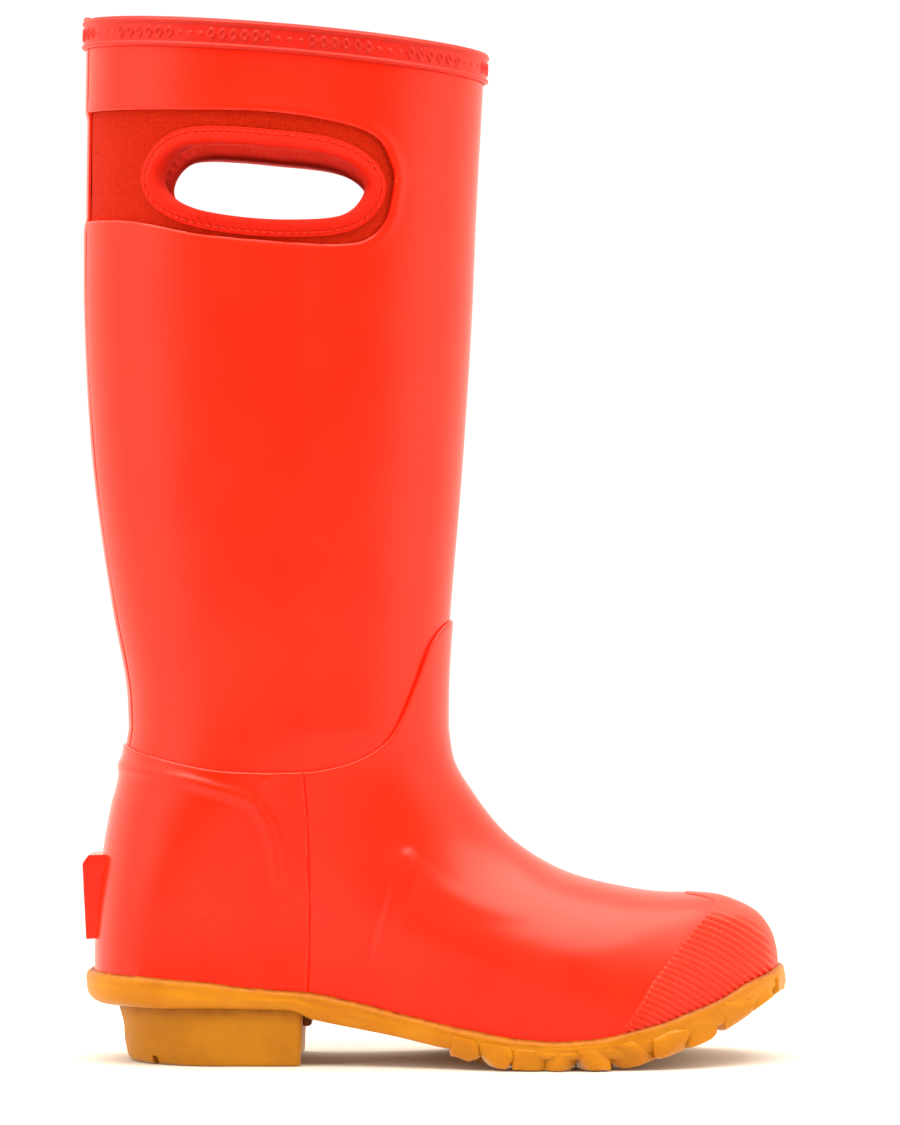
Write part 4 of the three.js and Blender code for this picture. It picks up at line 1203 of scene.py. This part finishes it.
def lugGrids():
    spin = np.random.default_rng(23)
    grids = []
    # along the edge, from the waist on one side round the toe to the waist on the other
    angle = np.linspace(angleAtX(0.0, 0.0, 1), 2 * math.pi - angleAtX(0.0, 0.0, 1), 1500)
    edge = skin(0.0, angle)[:, :2]
    outwards = skinNormal(0.02, angle)[:, :2]
    outwards = unit(outwards)
    run = np.concatenate([[0], np.cumsum(np.linalg.norm(np.diff(edge, axis=0), axis=1))])
    at = 2.0
    while at < run[-1] - 2:
        size = spin.uniform(0.8, 1.25)
        k = np.searchsorted(run, at)
        way = np.array([-outwards[k][1], outwards[k][0]])
        reach = np.array([7.9 * size, 6.2, 6.3 * spin.uniform(0.85, 1.2)])
        flat = edge[k] + outwards[k] * (5.9 - reach[1] + spin.uniform(-0.7, 0.5))
        height = lugLine(flat[0]) + reach[2] - spin.uniform(0, 1.0)
        grids.append(stoneGrid(np.array([*flat, height]), reach, way, spin))
        at += lug["edgePitch"] * size
    # rows across the forefoot inside the edge
    begin, pitch = along(0.08), (along(0.9) - along(0.08)) / lug["rows"]
    for i in range(lug["rows"]):
        for j in range(lug["columns"]):
            x = begin + pitch * (i + 0.5) + (pitch * 0.35 if j == 1 else 0)
            room = float(halfAt(np.array([x]))[0]) - 11
            y = float(soleSwing(x)) + room * 0.68 * (j - 1)
            reach = np.array([pitch * 0.44, room * 0.31, 3.6])
            lean = 0.25 * math.sin(5 * i + 3 * j)
            way = np.array([math.cos(lean), math.sin(lean)])
            grids.append(stoneGrid(np.array([x, y, float(lugLine(x)) + 3.2]), reach, way, spin))
    return grids


# Half width of the lug field at x.
def halfAt(x):
    ring0 = skin(0.0, angleAtX(x, np.zeros(np.shape(x)), 1))
    return np.maximum(ring0[..., 1] - soleSwing(x) + 4.3, 3)


lugGridList = lugGrids()
lugTone = np.full(sum(g[0].shape[0] * g[0].shape[1] for g in lugGridList), 0.12)
pieceOf("treadLugs", meshOf("treadLugs", lugGridList, lugTone), "boot", ["outsole"], gumRim,
    crease=34)
print("sole made")

# Inside.
# Heights over the feather line.
footbedSpec = {"foam": (1.15, 5.5), "cover": (5.8, 6.7), "ease": 1.3}


# A slice of the boot's inside between two heights over the feather line; its top rises towards the edge by
# the cupping, which is 0 for both slices here.
def footSlice(low, high, ease, cupping):
    angle = np.linspace(0, 2 * math.pi, 200, endpoint=False)
    base, normal = onSkin(np.full(angle.shape, 0.03), angle)
    normal[:, 2] = 0
    edge = base + unit(normal) * (boot["liningIn"] - ease)
    spineX = np.clip(edge[:, 0], heelX + 34, toeX - 44)
    rings = []
    def put(t, rise, cup):
        x = mix(edge[:, 0], spineX, t)
        y = mix(edge[:, 1], soleSwing(spineX), t)
        bowl = cup * ((1 - t) ** 2 - 0.25)
        rings.append(np.stack([x, y, featherZ(x) + rise + bowl], -1))
    for t in (1, 0.75, 0.5, 0.25, 0.1, 0.03):
        put(t, low, 0)
    put(0.0, low + 0.25 * (high - low), 0)
    put(0.0, low + 0.75 * (high - low), cupping)
    for t in (0.015, 0.05, 0.12, 0.25, 0.4, 0.55, 0.7, 0.85, 1):
        put(t, high, cupping)
    return [(np.stack(rings), False, True)]


padMesh = meshOf("footbedPad", footSlice(*footbedSpec["foam"], footbedSpec["ease"], 0.0))
coverMesh = meshOf("footbedCover", footSlice(*footbedSpec["cover"], footbedSpec["ease"], 0.0))
footbedPiece = pieceOf("footbedPad", padMesh, "footbed", ["footbed"], foamLook)
pieceOf("footbedCover", coverMesh, "footbed", ["footbed_cover"], greyLining)

hiddenLooks = {
    "insole_board": boardLook, "shank": steelLook("spring steel"), "heel_cushion": foamLook,
    "heel_counter": stiffLook, "toe_puff": stiffLook, "neoprene_foot": neopreneRed, "lining_foot": greyLining}
for node, material in hiddenLooks.items():
    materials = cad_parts[node].data.materials
    materials.clear()
    materials.append(material)
print("inside made")

# Studio.
studio = {
    "seen": 1.05, "dim": 0.0, "bright": 1.7, "climb": 3.1, "start": 0.3, "warm": (1.0, 0.9, 0.76, 1.0),
    "floorReach": 0.85, "floorZ": -0.0002}
bpy.context.scene.view_settings.view_transform = "Standard"
view = {"at": (0.00644, -1.903, 0.1993), "lens": 151.4}
camera = bpy.data.cameras.new("camera")
camera.lens = view["lens"]
camera.sensor_width = 36
camera.sensor_height = 36
camera.sensor_fit = "AUTO"
eye = bpy.data.objects.new("camera", camera)
bpy.context.scene.collection.objects.link(eye)
eye.location = view["at"]
eye.rotation_euler = (math.pi / 2, 0, 0)
bpy.context.scene.camera = eye

world = bpy.data.worlds.new("studio")
bpy.context.scene.world = world
world.use_nodes = True
background = world.node_tree.nodes["Background"]
# The backdrop is seen white. As a light it is dim on the side that the boot faces and climbs evenly to the
# far side:
# strength = climb * (1 + y) / 2 - start for a ray direction with that y, kept between dim and bright.
def backdropStrength(tree):
    def number(kind, first, second):
        made = tree.nodes.new("ShaderNodeMath")
        made.operation = kind
        for socket, value in zip(made.inputs, (first, second)):
            if isinstance(value, bpy.types.NodeSocket):
                tree.links.new(value, socket)
            else:
                socket.default_value = value
        return made.outputs[0]

    direction = tree.nodes.new("ShaderNodeSeparateXYZ")
    tree.links.new(tree.nodes.new("ShaderNodeTexCoord").outputs["Generated"], direction.inputs[0])
    steep = number("MULTIPLY", number("ADD", direction.outputs["Y"], 1.0), studio["climb"] / 2)
    climbing = number("SUBTRACT", steep, studio["start"])
    light = number("MINIMUM", number("MAXIMUM", climbing, studio["dim"]), studio["bright"])
    isSeen = tree.nodes.new("ShaderNodeLightPath").outputs["Is Camera Ray"]
    seen = number("MULTIPLY", isSeen, studio["seen"])
    return number("ADD", seen, number("MULTIPLY", light, number("SUBTRACT", 1.0, isSeen))), isSeen


strength, isSeen = backdropStrength(world.node_tree)
world.node_tree.links.new(strength, background.inputs["Strength"])
tint = world.node_tree.nodes.new("ShaderNodeMix")  # seen white, but a warm light
tint.data_type = "RGBA"
tint.inputs[6].default_value = studio["warm"]
tint.inputs[7].default_value = (1, 1, 1, 1)
world.node_tree.links.new(isSeen, tint.inputs[0])
world.node_tree.links.new(tint.outputs[2], background.inputs["Color"])


# A large flat soft light facing the boot.
def softBox(name, at, size, power, aim=(0, 0, 0.2), mirrored=True):
    lamp = bpy.data.lights.new(name, "AREA")
    lamp.shape = "RECTANGLE"
    lamp.size, lamp.size_y = size
    lamp.energy = power
    lamp.color = studio["warm"][:3]
    box = bpy.data.objects.new(name, lamp)
    bpy.context.scene.collection.objects.link(box)
    box.location = at
    box.visible_glossy = mirrored
    box.rotation_euler = (Vector(aim) - Vector(at)).to_track_quat("-Z", "Y").to_euler()


softBox("left box", (-1.25, -0.75, 0.55), (0.7, 1.5), 14, mirrored=False)
softBox("right box", (1.35, -0.7, 0.55), (0.8, 1.5), 15, mirrored=False)
softBox("top box", (0.0, -0.3, 1.7), (2.4, 1.9), 58)
softBox("front box", (0.0, -2.4, 0.9), (1.5, 0.8), 9, mirrored=False)

floor = bpy.data.meshes.new("floor")
reach = studio["floorReach"]
corners = [(x, y, studio["floorZ"]) for x, y in ((-reach, -reach), (reach, -reach), (reach, reach),
    (-reach, reach))]
floor.from_pydata(corners, [], [(0, 1, 2, 3)])
floorPiece = bpy.data.objects.new("floor", floor)
bpy.context.scene.collection.objects.link(floorPiece)
paper = Shader("white paper")
paperMottle = paper.spread(paper.noise(3, 2), 0, 1)
paper.put("Base Color", paper.blend(paperMottle, (0.7, 0.7, 0.69, 1), (0.72, 0.72, 0.71, 1)))
paper.put("Roughness", 0.9)
# Seen from below the paper is clear, so that the underside shows.
clear = paper.add("ShaderNodeBsdfTransparent")
fromBelow = paper.add("ShaderNodeNewGeometry").outputs["Backfacing"]
under = paper.add("ShaderNodeMixShader", {0: fromBelow, 1: paper.shader.outputs[0], 2: clear.outputs[0]})
paper.tree.links.new(under.outputs[0], paper.tree.nodes["Material Output"].inputs["Surface"])
floor.materials.append(paper.material)
floorPiece.visible_glossy = False  # the paper is left out of the gloss
print("studio made")
